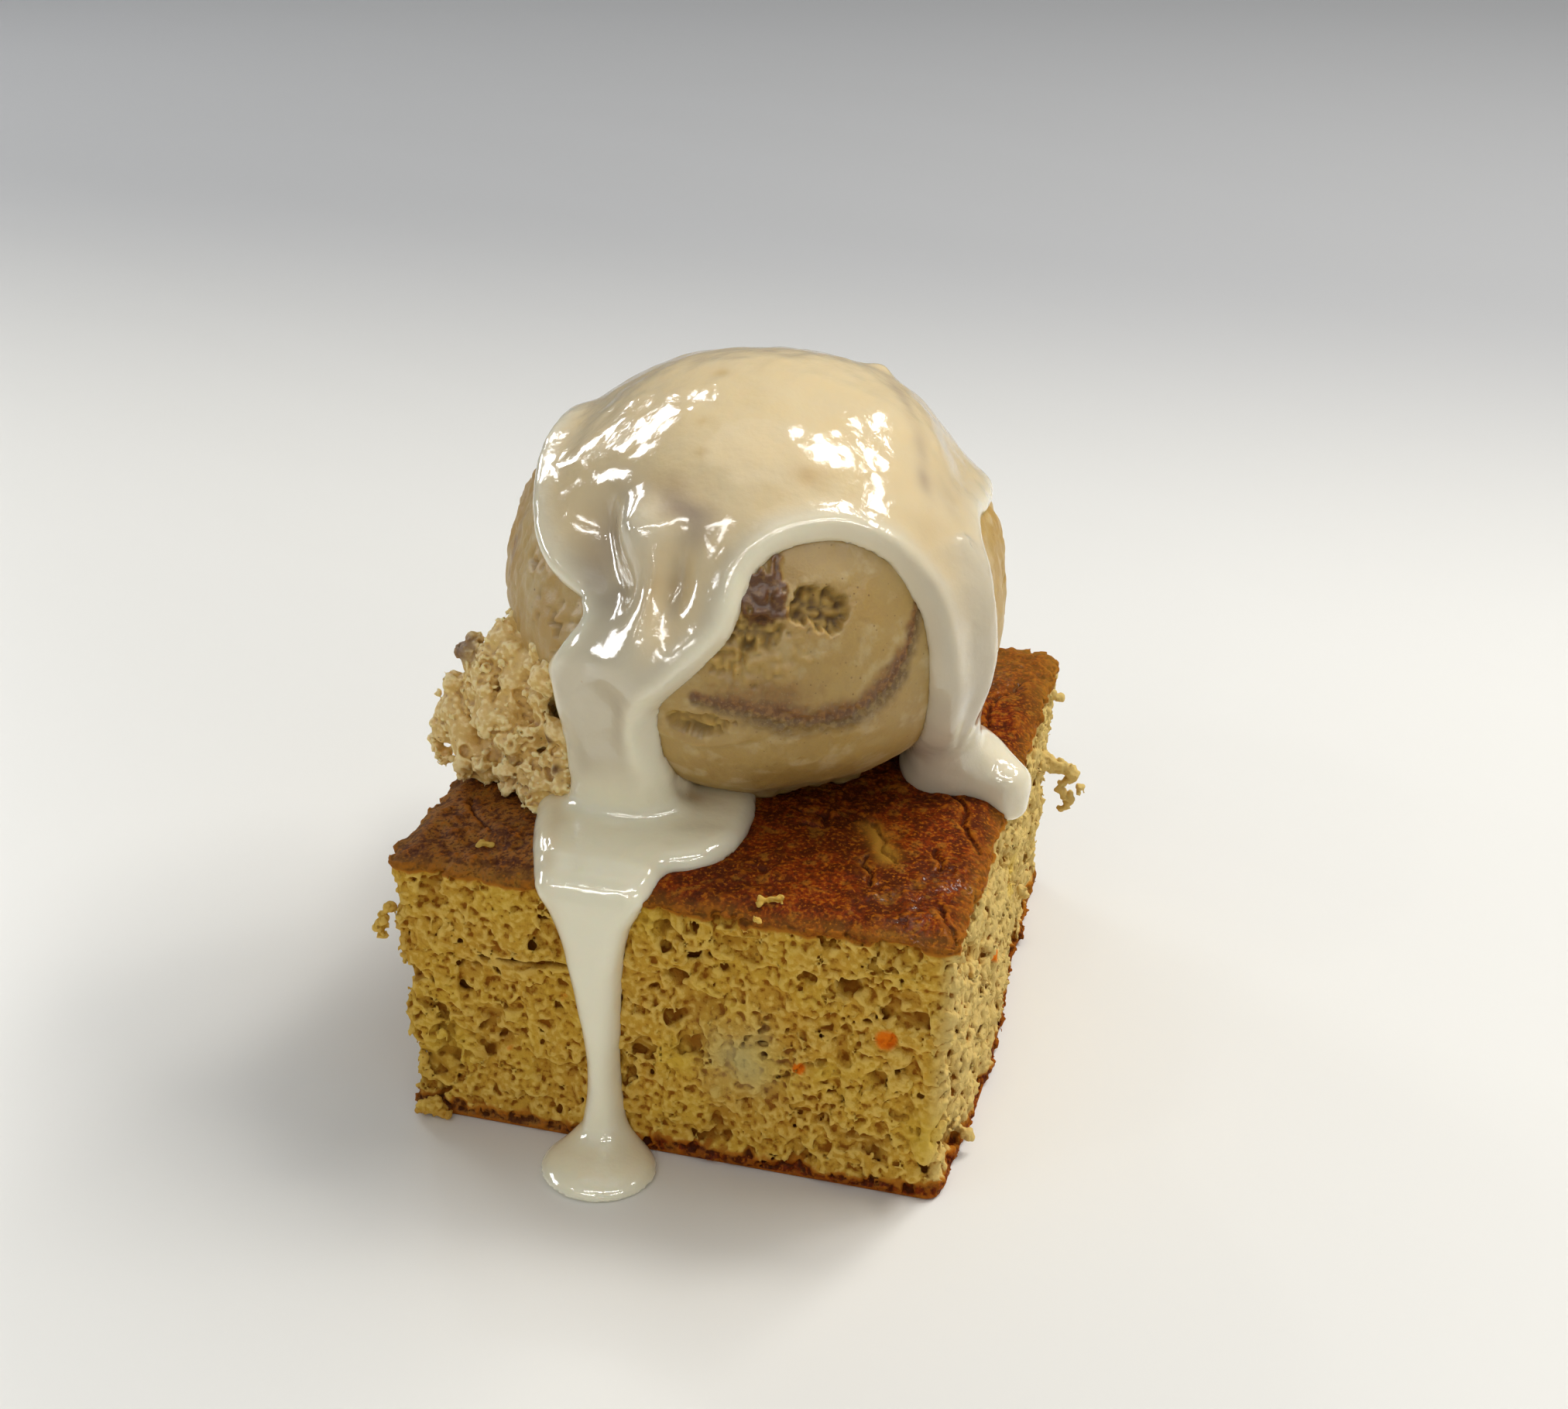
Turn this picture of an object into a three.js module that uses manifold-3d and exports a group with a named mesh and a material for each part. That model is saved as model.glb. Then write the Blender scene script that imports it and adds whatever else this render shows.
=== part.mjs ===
// A cut square of sheet cake under a scoop of ice cream and a pour of icing.
//
// Millimetres, +Z up. The origin is the middle of the cake's underside, the cake's front cut face
// looks along -Y and its right cut face along +X. There are four solids: the cake, the scoop that
// rests on its crust, the torn lump of ice cream that leans on the scoop, and one continuous pour of
// icing that caps the scoop, pools on the crust and runs down the front to where the cake stands.
// Angles round the scoop are in degrees: azimuth 0 faces -Y and 90 faces +X, elevation 90 is the top.

import * as THREE from "three";
import { mergeVertices } from "three/addons/utils/BufferGeometryUtils.js";
import Module from "manifold-3d";

// ---- driving dimensions ----

const CAKE_WIDTH = 76;
const CAKE_DEPTH = 86;
const CAKE_HEIGHT = 42;
const CRUST_THICKNESS = 3;
const BASE_CRUST_THICKNESS = 1.8;
const CAKE_FLARE = 0.8; // how far each side leans out from base to crust
const CRUST_DOME = 1.2; // rise of the crust from its edges to its middle
const EDGE_ROUND = 0.9; // how far the crust's outer edge turns down
const CORNER_ROUND = 0.8;
const CRUST_SWELL = 0.35; // height of the crust's soft swells
const CRUST_OVERHANG = 0.5; // how far the crust stands out over the crumb
const BASE_SPREAD = 0.5; // how far the base crust stands out
const CUT_HOLLOW = 0.4; // how far the crumb is drawn in between the two crusts
const CUT_WAVINESS = 0.5; // unevenness of the cut faces

const SCOOP_RADIUS = 34.8;
const SCOOP_RISE = 31.9; // from the widest level to the top
const SCOOP_DROP = 26.4; // from the widest level to the pole below, which the cake cuts off
const SCOOP_CENTRE = new THREE.Vector3(0.6, 1.5, CAKE_HEIGHT + 24.5);
const SCOOP_UNEVENNESS = 0.7;
const DENT = { azimuth: -25, elevation: 27, spread: 15, depth: 5 };

const LUMP_CENTRE = new THREE.Vector3(-29.3, -17.2, CAKE_HEIGHT + 10.8);
const LUMP_RADII = new THREE.Vector3(10.5, 9.5, 13.5);
const LUMP_UNEVENNESS = 0.13; // share of the lump's radius

const ICING_THICKNESS = 1.7;
const RIM_THICKNESS = 2.9; // the rolled edge where the icing stopped
const POOL_THICKNESS = 2.6;
const PUDDLE_RADIUS = 7.8;
const PUDDLE_HEIGHT = 3.2;
const RUN_END = 0.2; // share of a run's length over which its end is rounded off
const GAP = 0.3; // clearance between solids that touch

const FRONT = -CAKE_DEPTH / 2;
const SIDE = CAKE_WIDTH / 2;
const STREAM_X = -10.5; // the front stream's middle on the scoop
const DRIP_X = -8.7; // the drip's middle on the front face

// The icing's lower edge round the scoop, as azimuth and elevation, before the runs go on down from it:
// an arch over the bare front between two runs, and slow drips round the back.
const RIM = [
  [-72, 38], [-52, 30], [-37, 21], [-29, 11], [-20, 3], [-8, 3], [0, 5], [7, 12], [14, 27], [22, 34],
  [34, 35], [44, 30], [52, 16], [58, 8], [68, 8], [77, 17], [92, 29], [112, 26], [134, 17], [158, 4],
  [178, 16], [202, 27], [222, 9], [244, 25], [266, 37],
];

const wasm = await Module();
wasm.setup();

// ---- helpers ----

const clamp01 = (x) => Math.min(1, Math.max(0, x));

// Rises smoothly from 0 at low to 1 at high.
function smooth(low, high, x) {
  const t = clamp01((x - low) / (high - low));
  return t * t * (3 - 2 * t);
}

// A smooth uneven field, roughly from -1 to 1.
function wave(p, q, seed) {
  const slow = Math.sin(p + seed) * Math.cos(1.3 * q + 2.1 * seed);
  const quick = Math.sin(2.3 * p + 1.9 * q + 3.7 * seed);
  return (2 * slow + quick) / 3;
}

// A closed three.js geometry as a manifold solid.
function solidOf(geometry) {
  const bare = geometry.clone();
  bare.deleteAttribute("normal");
  bare.deleteAttribute("uv");
  const merged = mergeVertices(bare, 1e-4);
  const index = merged.index.array;
  return new wasm.Manifold(
    new wasm.Mesh({
      numProp: 3,
      vertProperties: new Float32Array(merged.attributes.position.array),
      triVerts: new Uint32Array(index),
    }),
  );
}

// A manifold solid as a three.js geometry.
function geometryOf(solid) {
  const mesh = solid.getMesh();
  const geometry = new THREE.BufferGeometry();
  geometry.setAttribute("position", new THREE.BufferAttribute(mesh.vertProperties, 3));
  geometry.setIndex(new THREE.BufferAttribute(mesh.triVerts, 1));
  geometry.computeVertexNormals();
  return geometry;
}

// The largest body of a solid, without the slivers that a cut can leave.
function mainBody(solid) {
  const bodies = solid.decompose();
  return bodies.reduce((largest, body) => (body.volume() > largest.volume() ? body : largest));
}

// Moves every vertex of a geometry by a function of its position.
function reshape(geometry, move) {
  const position = geometry.attributes.position;
  const point = new THREE.Vector3();
  for (let i = 0; i < position.count; i++) {
    point.fromBufferAttribute(position, i);
    move(point);
    position.setXYZ(i, point.x, point.y, point.z);
  }
  return geometry;
}

// ---- cake ----

// Heights of the cake's rings of vertices: close together at the two crusts.
const CAKE_LEVELS = [
  0,
  BASE_CRUST_THICKNESS,
  ...[0.14, 0.28, 0.44, 0.6, 0.76].map((share) => share * CAKE_HEIGHT),
  CAKE_HEIGHT - 2 * CRUST_THICKNESS,
  CAKE_HEIGHT - CRUST_THICKNESS,
  CAKE_HEIGHT - CRUST_THICKNESS / 3,
  CAKE_HEIGHT,
];

// The crust's height over the cake's plan: a low dome with soft swells, turned down at the cut edges.
function crustHeight(x, y) {
  const acrossX = Math.abs(x) / SIDE;
  const acrossY = Math.abs(y) / -FRONT;
  const dome = CRUST_DOME * (1 - acrossX ** 4) * (1 - acrossY ** 4);
  const swell = CRUST_SWELL * wave(x / 12, y / 14, 0.6);
  const turned = EDGE_ROUND * smooth(0.93, 1, Math.max(acrossX, acrossY));
  return CAKE_HEIGHT + dome + swell - turned;
}

// How far a cut face stands out at a height: the crust overhangs a little, over a slight hollow.
function cutProfile(z) {
  const flare = CAKE_FLARE * (z / CAKE_HEIGHT - 0.5);
  const crustStart = CAKE_HEIGHT - CRUST_THICKNESS - 1;
  const overhang = CRUST_OVERHANG * smooth(crustStart, CAKE_HEIGHT - CRUST_THICKNESS / 3, z);
  const foot = BASE_SPREAD * (1 - smooth(0, 2 * BASE_CRUST_THICKNESS, z));
  return flare + overhang + foot - CUT_HOLLOW;
}

// The cake's solid, larger by grow on every side.
function cakeSolid(grow) {
  const levels = CAKE_LEVELS.length - 1;
  const block = new THREE.BoxGeometry(CAKE_WIDTH, CAKE_DEPTH, CAKE_HEIGHT, 14, 16, levels);
  reshape(block, (p) => {
    const level = Math.round((p.z / CAKE_HEIGHT + 0.5) * levels);
    const onX = Math.abs(Math.abs(p.x) - SIDE) < 1e-3;
    const onY = Math.abs(Math.abs(p.y) + FRONT) < 1e-3;
    const x = p.x;
    const y = p.y;
    const z = CAKE_LEVELS[level];
    const out = cutProfile(z) + grow - (onX && onY ? CORNER_ROUND : 0);
    if (onX) p.x += Math.sign(x) * (out + CUT_WAVINESS * wave(y / 8, z / 7, Math.sign(x)));
    if (onY) p.y += Math.sign(y) * (out + CUT_WAVINESS * wave(x / 8, z / 7, 2 * Math.sign(y)));
    p.z = z;
    if (level === levels) p.z = crustHeight(x, y) + grow;
    else if (level === 0) p.z = -grow;
  });
  return solidOf(block);
}

// ---- scoop ----

// A point of the scoop's surface, standing out by an offset: half an ellipsoid above its widest level and
// a shallower half below, with soft bumps and a dent pressed into the front on the left.
function scoopPoint(azimuth, elevation, offset) {
  const a = THREE.MathUtils.degToRad(azimuth);
  const e = THREE.MathUtils.degToRad(elevation);
  const flat = Math.cos(e);
  const turn = ((azimuth - DENT.azimuth + 540) % 360) - 180;
  const away = Math.hypot(turn * Math.cos(e), elevation - DENT.elevation) / DENT.spread;
  const bumps = SCOOP_UNEVENNESS * flat * wave(3 * a, 2.5 * e, 1.4);
  const out = offset + bumps - DENT.depth * Math.exp(-away * away);
  const radius = (SCOOP_RADIUS + out) * flat;
  const height = ((e > 0 ? SCOOP_RISE : SCOOP_DROP) + out) * Math.sin(e);
  return new THREE.Vector3(Math.sin(a) * radius, -Math.cos(a) * radius, height).add(SCOOP_CENTRE);
}

// The whole scoop as a solid, larger by grow, before the crust cuts off its underside.
function scoopSolid(grow) {
  const ball = new THREE.SphereGeometry(1, 40, 22).rotateX(Math.PI / 2);
  reshape(ball, (p) => {
    const elevation = THREE.MathUtils.radToDeg(Math.asin(THREE.MathUtils.clamp(p.z, -1, 1)));
    const azimuth = THREE.MathUtils.radToDeg(Math.atan2(p.x, -p.y));
    p.copy(scoopPoint(azimuth, elevation, grow));
  });
  return solidOf(ball);
}

// ---- torn lump ----

// A ragged clod that leans out to the left of the scoop, its tip past the cake's edge.
function lumpSolid(grow) {
  const clod = new THREE.IcosahedronGeometry(1, 5);
  reshape(clod, (p) => {
    const coarse = wave(4 * p.x + 2 * p.z, 5 * p.y - 2 * p.z, 2.2);
    const fine = 0.7 * wave(9 * p.x, 8 * p.z + 6 * p.y, 0.4);
    const tip = 3.5 * smooth(0.45, 1, -p.x) * smooth(0.2, -0.6, p.z);
    const scale = 1 + LUMP_UNEVENNESS * (coarse + fine);
    const direction = p.clone();
    p.multiply(LUMP_RADII).multiplyScalar(scale).addScaledVector(direction, grow);
    p.x -= tip;
    p.add(LUMP_CENTRE);
  });
  return solidOf(clod);
}

// ---- icing ----

// The elevation of the icing's edge at an azimuth, eased between the points of RIM.
function rimElevation(azimuth) {
  const start = RIM[0][0];
  const turned = start + ((((azimuth - start) % 360) + 360) % 360);
  const next = RIM.findIndex(([a]) => a > turned);
  const [a1, e1] = next < 0 ? [start + 360, RIM[0][1]] : RIM[next];
  const [a0, e0] = RIM[(next < 0 ? RIM.length : next) - 1];
  return e0 + (e1 - e0) * smooth(a0, a1, turned);
}

// The icing over the scoop: thin on top, rolled over at the rim, and closed by a cone of faces to the
// scoop's centre, so that cutting the scoop out of it leaves the shell.
function capSolid() {
  const around = 64;
  const rings = 10;
  const points = [scoopPoint(0, 90, ICING_THICKNESS)];
  for (let ring = 1; ring <= rings; ring++) {
    const share = ring / rings;
    const eased = 1 - (1 - share) ** 1.6;
    for (let i = 0; i < around; i++) {
      const azimuth = (360 * i) / around;
      const elevation = 90 - eased * (90 - rimElevation(azimuth));
      const rolled = ICING_THICKNESS + (RIM_THICKNESS - ICING_THICKNESS) * smooth(0.5, 0.9, share);
      points.push(scoopPoint(azimuth, elevation, ring === rings ? 0 : rolled));
    }
  }
  points.push(SCOOP_CENTRE);
  const at = (ring, i) => 1 + (ring - 1) * around + (i % around);
  const faces = [];
  for (let i = 0; i < around; i++) {
    faces.push(0, at(1, i), at(1, i + 1));
    faces.push(points.length - 1, at(rings, i + 1), at(rings, i));
    for (let ring = 1; ring < rings; ring++) {
      faces.push(at(ring, i), at(ring + 1, i), at(ring + 1, i + 1));
      faces.push(at(ring, i), at(ring + 1, i + 1), at(ring, i + 1));
    }
  }
  const geometry = new THREE.BufferGeometry().setFromPoints(points);
  geometry.setIndex(faces);
  return solidOf(geometry);
}

// A run of icing along a smooth path. Each station is [x, y, z, half width, half thickness], the
// section is an oval, facing is the direction that it bulges towards, and both ends are rounded off.
function runSolid(stations, facing, steps = 14, sides = 12) {
  const path = new THREE.CatmullRomCurve3(stations.map(([x, y, z]) => new THREE.Vector3(x, y, z)));
  const sizes = new THREE.CatmullRomCurve3(stations.map(([, , , w, d]) => new THREE.Vector3(w, d, 0)));
  const points = [path.getPoint(0)];
  for (let step = 1; step < steps; step++) {
    const t = step / steps;
    const tangent = path.getTangent(t);
    const side = new THREE.Vector3().crossVectors(tangent, facing).normalize();
    const out = new THREE.Vector3().crossVectors(side, tangent);
    const nearEnd = clamp01(Math.min(t, 1 - t) / RUN_END);
    const size = sizes.getPoint(t).multiplyScalar(Math.sqrt(nearEnd * (2 - nearEnd)));
    for (let i = 0; i < sides; i++) {
      const angle = (2 * Math.PI * i) / sides;
      const point = path.getPoint(t).addScaledVector(side, size.x * Math.cos(angle));
      points.push(point.addScaledVector(out, size.y * Math.sin(angle)));
    }
  }
  points.push(path.getPoint(1));
  const last = points.length - 1;
  const at = (step, i) => 1 + (step - 1) * sides + (i % sides);
  const faces = [];
  for (let i = 0; i < sides; i++) {
    faces.push(0, at(1, i), at(1, i + 1));
    faces.push(last, at(steps - 1, i + 1), at(steps - 1, i));
    for (let step = 1; step < steps - 1; step++) {
      faces.push(at(step, i), at(step + 1, i + 1), at(step, i + 1));
      faces.push(at(step, i), at(step + 1, i), at(step + 1, i + 1));
    }
  }
  const geometry = new THREE.BufferGeometry().setFromPoints(points);
  geometry.setIndex(faces);
  return solidOf(geometry);
}

// The pool on the crust in front of the scoop, open to the front edge, with rounded sides.
function poolSolid() {
  const outline = new THREE.SplineCurve(
    [
      [STREAM_X - 12, FRONT + 17],
      [STREAM_X - 9.5, FRONT + 7],
      [STREAM_X - 6.5, FRONT + 1],
      [STREAM_X + 5, FRONT + 1],
      [STREAM_X + 8.5, FRONT + 6.3],
      [STREAM_X + 14.6, FRONT + 10.6],
      [STREAM_X + 16.2, FRONT + 19],
      [STREAM_X + 13, FRONT + 27],
      [STREAM_X - 8, FRONT + 25],
      [STREAM_X - 12, FRONT + 17],
    ].map(([x, y]) => new THREE.Vector2(x, y)),
  );
  const bevel = POOL_THICKNESS / 2;
  const slab = new THREE.ExtrudeGeometry(new THREE.Shape(outline.getPoints(40)), {
    depth: POOL_THICKNESS / 2 + 1,
    bevelThickness: bevel,
    bevelSize: bevel,
    bevelOffset: -bevel,
    bevelSegments: 3,
    steps: 1,
  });
  return solidOf(slab.translate(0, 0, CAKE_HEIGHT));
}

// The puddle at the foot of the drip: a low dome with a flat underside.
function puddleSolid() {
  const profile = [new THREE.Vector2(0, 0)];
  for (let i = 0; i <= 8; i++) {
    const angle = (Math.PI / 2) * (i / 8);
    profile.push(new THREE.Vector2(PUDDLE_RADIUS * Math.cos(angle) ** 0.7, PUDDLE_HEIGHT * Math.sin(angle)));
  }
  profile[profile.length - 1].x = 0;
  const dome = new THREE.LatheGeometry(profile, 28).rotateX(Math.PI / 2);
  return solidOf(dome.translate(DRIP_X + 0.7, FRONT - 5.6, 0));
}

// The runs of icing off the scoop: the front stream, the drip down the front face, the right stream,
// and the foot that it spreads into, with a toe over the cake's right edge.
function runSolids() {
  const forward = new THREE.Vector3(0, -1, 0.35).normalize();
  const rightForward = new THREE.Vector3(0.75, -0.65, 0.2).normalize();
  const crust = CAKE_HEIGHT + 1;
  const frontStream = [
    [...scoopPoint(-24, 26, 0.2), 6, 1.4],
    [...scoopPoint(-23, 14, 0.6), 8.4, 2.2],
    [...scoopPoint(-21, 2, 1.2), 8.8, 3],
    [...scoopPoint(-20, -14, 2), 8.4, 3.6],
    [STREAM_X + 1, FRONT + 13.5, crust + 3, 8.5, 4],
    [STREAM_X + 1, FRONT + 12, crust, 9, 3],
  ];
  const drip = [
    [DRIP_X - 1.8, FRONT + 8, crust + 0.3, 6, 2],
    [DRIP_X - 1.8, FRONT + 2.5, crust + 0.2, 7, 2.2],
    [DRIP_X - 1.4, FRONT - 1, crust - 4, 6, 2.4],
    [DRIP_X - 0.6, FRONT - 1.4, crust - 11, 4.2, 2.4],
    [DRIP_X, FRONT - 1.5, CAKE_HEIGHT * 0.5, 3.1, 2.3],
    [DRIP_X, FRONT - 1.5, CAKE_HEIGHT * 0.22, 3, 2.5],
    [DRIP_X + 0.2, FRONT - 2.6, 4, 4.6, 3],
    [DRIP_X + 0.4, FRONT - 3.6, 1.9, 5, 1.6],
  ];
  const rightStream = [
    [...scoopPoint(63, 26, 0), 7, 1.6],
    [...scoopPoint(63, 13, 0.2), 7.6, 2.2],
    [...scoopPoint(64, -2, 0.4), 6, 3],
    [...scoopPoint(68, -18, 1.4), 5.2, 3.4],
    [30.5, -7, crust + 4, 5.6, 3.4],
    [30, -4.5, crust, 6, 3],
  ];
  const toe = [
    [26, -2.2, crust + 0.8, 3.4, 2.4],
    [30, -3, crust + 1.4, 4.6, 3],
    [35, -4.6, crust + 1, 3.7, 2.6],
    [SIDE + 0.6, -5.2, crust + 0.2, 3.3, 2.3],
    [SIDE + 1.6, -5.4, crust - 2.2, 2.8, 2],
  ];
  const up = new THREE.Vector3(0.2, -0.1, 1).normalize();
  return [
    runSolid(frontStream, forward),
    runSolid(drip, forward, 22),
    runSolid(rightStream, rightForward),
    runSolid(toe, up),
  ];
}

// ---- the four nodes ----

// A named mesh with a plain finish.
function nodeMesh(name, solid, color, roughness) {
  const material = new THREE.MeshStandardMaterial({ color, roughness, metalness: 0 });
  const mesh = new THREE.Mesh(geometryOf(solid), material);
  mesh.name = name;
  return mesh;
}

const cakeClear = cakeSolid(GAP);
const scoopClear = scoopSolid(GAP);
const lumpClear = lumpSolid(GAP);

const scoop = mainBody(scoopSolid(0).subtract(cakeClear));
const lump = mainBody(lumpSolid(0).subtract(cakeClear).subtract(scoopClear));
const pour = [poolSolid(), puddleSolid(), ...runSolids()].reduce((whole, run) => whole.add(run), capSolid());
const icing = mainBody(pour.subtract(scoopClear).subtract(cakeClear).subtract(lumpClear));

const dessert = new THREE.Group();
dessert.add(nodeMesh("cake", cakeSolid(0), 0xcfa862, 0.9));
dessert.add(nodeMesh("ice_cream_scoop", scoop, 0xc9b48c, 0.55));
dessert.add(nodeMesh("ice_cream_lump", lump, 0xc4a87c, 0.8));
dessert.add(nodeMesh("icing", icing, 0xe9e4da, 0.12));

export default dessert;
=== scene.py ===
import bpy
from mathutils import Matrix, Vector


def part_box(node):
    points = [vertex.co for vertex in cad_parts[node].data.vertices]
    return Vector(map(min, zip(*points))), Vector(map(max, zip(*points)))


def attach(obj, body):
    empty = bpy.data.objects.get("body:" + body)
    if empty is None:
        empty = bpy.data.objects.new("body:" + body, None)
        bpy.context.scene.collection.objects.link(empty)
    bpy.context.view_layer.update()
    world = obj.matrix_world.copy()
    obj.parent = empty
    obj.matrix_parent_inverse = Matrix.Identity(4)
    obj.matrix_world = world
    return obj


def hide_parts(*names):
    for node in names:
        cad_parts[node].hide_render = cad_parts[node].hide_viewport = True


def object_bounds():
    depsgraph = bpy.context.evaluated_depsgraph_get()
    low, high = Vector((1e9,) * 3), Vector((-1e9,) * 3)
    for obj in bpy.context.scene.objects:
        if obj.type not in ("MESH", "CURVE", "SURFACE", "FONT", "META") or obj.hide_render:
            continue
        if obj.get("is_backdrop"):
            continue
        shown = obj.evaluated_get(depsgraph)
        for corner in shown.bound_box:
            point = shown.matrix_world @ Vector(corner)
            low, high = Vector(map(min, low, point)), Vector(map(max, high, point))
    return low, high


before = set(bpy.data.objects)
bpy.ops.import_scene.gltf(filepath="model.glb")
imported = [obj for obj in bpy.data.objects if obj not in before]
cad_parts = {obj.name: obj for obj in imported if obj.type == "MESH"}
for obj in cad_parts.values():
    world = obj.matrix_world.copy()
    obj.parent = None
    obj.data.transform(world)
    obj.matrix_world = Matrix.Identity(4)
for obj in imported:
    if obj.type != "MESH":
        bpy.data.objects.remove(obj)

"""Dump cake: a square of sheet cake under a scoop of ice cream and a pour of icing.

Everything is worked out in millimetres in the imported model's frame and written into the meshes in metres.
Angles round the scoop are in degrees: azimuth 0 faces -Y and 90 faces +X, elevation 90 is the top.

The crumb, the torn lump and the icing have overhangs, caves and merging runs that no grid of two
parameters holds. Each is a solid field on a lattice, positive inside, whose surface is taken as whole
arrays by surface_net. The scoop is a grid of two parameters.
"""

import itertools
import logging
import math
from dataclasses import dataclass, field
from enum import Enum
from typing import Callable

import bpy
import numpy as np
from mathutils import Matrix, Vector

CAD_LOW, CAD_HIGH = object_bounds()

MM = 0.001
BODY = "root"
Array = np.ndarray
Material = bpy.types.Material
Piece = bpy.types.Object
Triple = tuple[float, float, float]
Color = Triple
Pair = tuple[float, float]
Spots = tuple[tuple[Pair, Pair, float], ...]
COOL: Color = (0.97, 0.985, 1.0)
SOFT: Color = (1.0, 0.98, 0.95)
WARM: Color = (1.0, 0.97, 0.92)
BROWN_SPICE: tuple[Color, Color] = (0.14, 0.048, 0.009), (0.31, 0.145, 0.030)
GREY_SPICE: tuple[Color, Color] = (0.15, 0.080, 0.022), (0.32, 0.205, 0.064)
SPICE_BUBBLE: Color = (0.46, 0.35, 0.20)
FAR_OUTSIDE = -9.0
OFF_TABLE = 0.02

log = logging.getLogger("dump_cake")


class Node(Enum):
    """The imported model's nodes."""

    CAKE = "cake"
    SCOOP = "ice_cream_scoop"
    LUMP = "ice_cream_lump"
    ICING = "icing"


# Where the numbers below are drawn: the middle of each node's box, in millimetres.
DRAWN = {
    Node.CAKE: (-0.011, -0.006, 21.752),
    Node.SCOOP: (0.574, 2.176, 70.801),
    Node.LUMP: (-30.478, -17.315, 54.318),
    Node.ICING: (5.410, -9.167, 50.050),
}


class Slot(Enum):
    """The record's material slots."""

    CAKE = "cake"
    ICE_CREAM = "ice_cream"
    TORN = "torn_ice_cream"
    ICING = "icing"


class Face(Enum):
    """The cake's faces that icing runs down."""

    FRONT = "front"
    RIGHT = "right"


# ---- arithmetic on whole arrays ----


def ease(low: float, high: float, x: Array) -> Array:
    """Rises smoothly from 0 where x is low to 1 where it is high; low may be above high for a fall."""
    t = np.clip((x - low) / (high - low), 0, 1)
    return t * t * (3 - 2 * t)


def merge_low(a: Array, b: Array, width: float) -> Array:
    """The smaller of two fields, rounded over where they are within width of each other."""
    overlap = np.maximum(width - np.abs(a - b), 0)
    return np.minimum(a, b) - overlap * overlap / (4 * width)


def merge_high(a: Array, b: Array, width: float) -> Array:
    """The larger of two fields, with a fillet where they are within width of each other."""
    return -merge_low(-a, -b, width)


def bell(x: Array) -> Array:
    """A bell curve, 1 at 0 and about a third at 1."""
    return np.exp(-x * x)


def lengths(rows: Array) -> Array:
    """The length of each row."""
    return np.linalg.norm(rows, axis=1)


@dataclass
class Noise:
    """A smooth random field from about -1 to 1, on a repeating cubic lattice of random values."""

    seed: int
    size: int = 32
    table: Array = field(init=False, repr=False)

    def __post_init__(self) -> None:
        """Draws the lattice's values."""
        draw = np.random.default_rng(self.seed)
        self.table = draw.uniform(-1, 1, self.size**3).astype(np.float32)

    def at(self, points: Array, cell: float) -> Array:
        """The field at points: the eased mean of the eight lattice values round each.

        Args:
            points: Rows of x, y, z.
            cell: The lattice's spacing.

        Returns:
            One value for each point.
        """
        place = points.astype(np.float32) / np.float32(cell) + np.float32(self.seed)
        base = np.floor(place)
        share = place - base
        share = share * share * (3 - 2 * share)
        low = base.astype(np.int32) & (self.size - 1)
        high = (low + 1) & (self.size - 1)
        corners = (low, high)
        weights = (1 - share, share)
        total = np.zeros(len(points), np.float32)
        for i, j, k in itertools.product((0, 1), repeat=3):
            index = (corners[i][:, 0] * self.size + corners[j][:, 1]) * self.size + corners[k][:, 2]
            total += weights[i][:, 0] * weights[j][:, 1] * weights[k][:, 2] * self.table[index]
        return total

    def clumps(self, points: Array, cell: float) -> Array:
        """Round bumps with creases between them: the size of the field, centred near 0."""
        return 2.2 * np.abs(self.at(points, cell)) - 0.75

    def fractal(self, points: Array, cell: float, octaves: int) -> Array:
        """The field summed over halving cells and strengths, from the largest cell down."""
        return sum(0.5**i * self.at(points, cell * 0.5**i) for i in range(octaves))


@dataclass
class Bubbles:
    """Round voids, at most one in each cell of a lattice, each somewhere in its cell."""

    seed: int
    cell: float
    smallest: float
    largest: float
    share: float
    size: int = 32
    centres: Array = field(init=False, repr=False)
    radii: Array = field(init=False, repr=False)

    def __post_init__(self) -> None:
        """Draws where the bubbles are and how large, in cells, with most of them small."""
        draw = np.random.default_rng(self.seed)
        self.centres = draw.uniform(0, 1, (self.size**3, 3)).astype(np.float32)
        spread = draw.uniform(0, 1, self.size**3) ** 2
        radii = (self.smallest + (self.largest - self.smallest) * spread) / self.cell
        empty = draw.uniform(0, 1, self.size**3) > self.share
        self.radii = np.where(empty, -9, radii).astype(np.float32)

    def distance(self, points: Array) -> Array:
        """How far points are outside the nearest bubble, over the 27 cells round each.

        Args:
            points: Rows of x, y, z.

        Returns:
            One distance for each point, negative inside a bubble.
        """
        place = points.astype(np.float32) / np.float32(self.cell)
        base = np.floor(place)
        share = place - base
        whole = base.astype(np.int32)
        nearest = np.full(len(points), 9, np.float32)
        for step in itertools.product((-1, 0, 1), repeat=3):
            home = (whole + np.array(step, np.int32)) & (self.size - 1)
            index = (home[:, 0] * self.size + home[:, 1]) * self.size + home[:, 2]
            away = self.centres[index] + np.array(step, np.float32) - share
            np.minimum(nearest, np.sqrt((away * away).sum(1)) - self.radii[index], out=nearest)
        return nearest * self.cell


def draw_noises(seed: int, count: int) -> list[Noise]:
    """Random fields with seeds in a row."""
    return [Noise(seed + i) for i in range(count)]


def sway(points: Array, noises: list[Noise], cell: float) -> Array:
    """The fields' values at points, one column for each field."""
    return np.stack([noise.at(points, cell) for noise in noises], 1)


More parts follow.
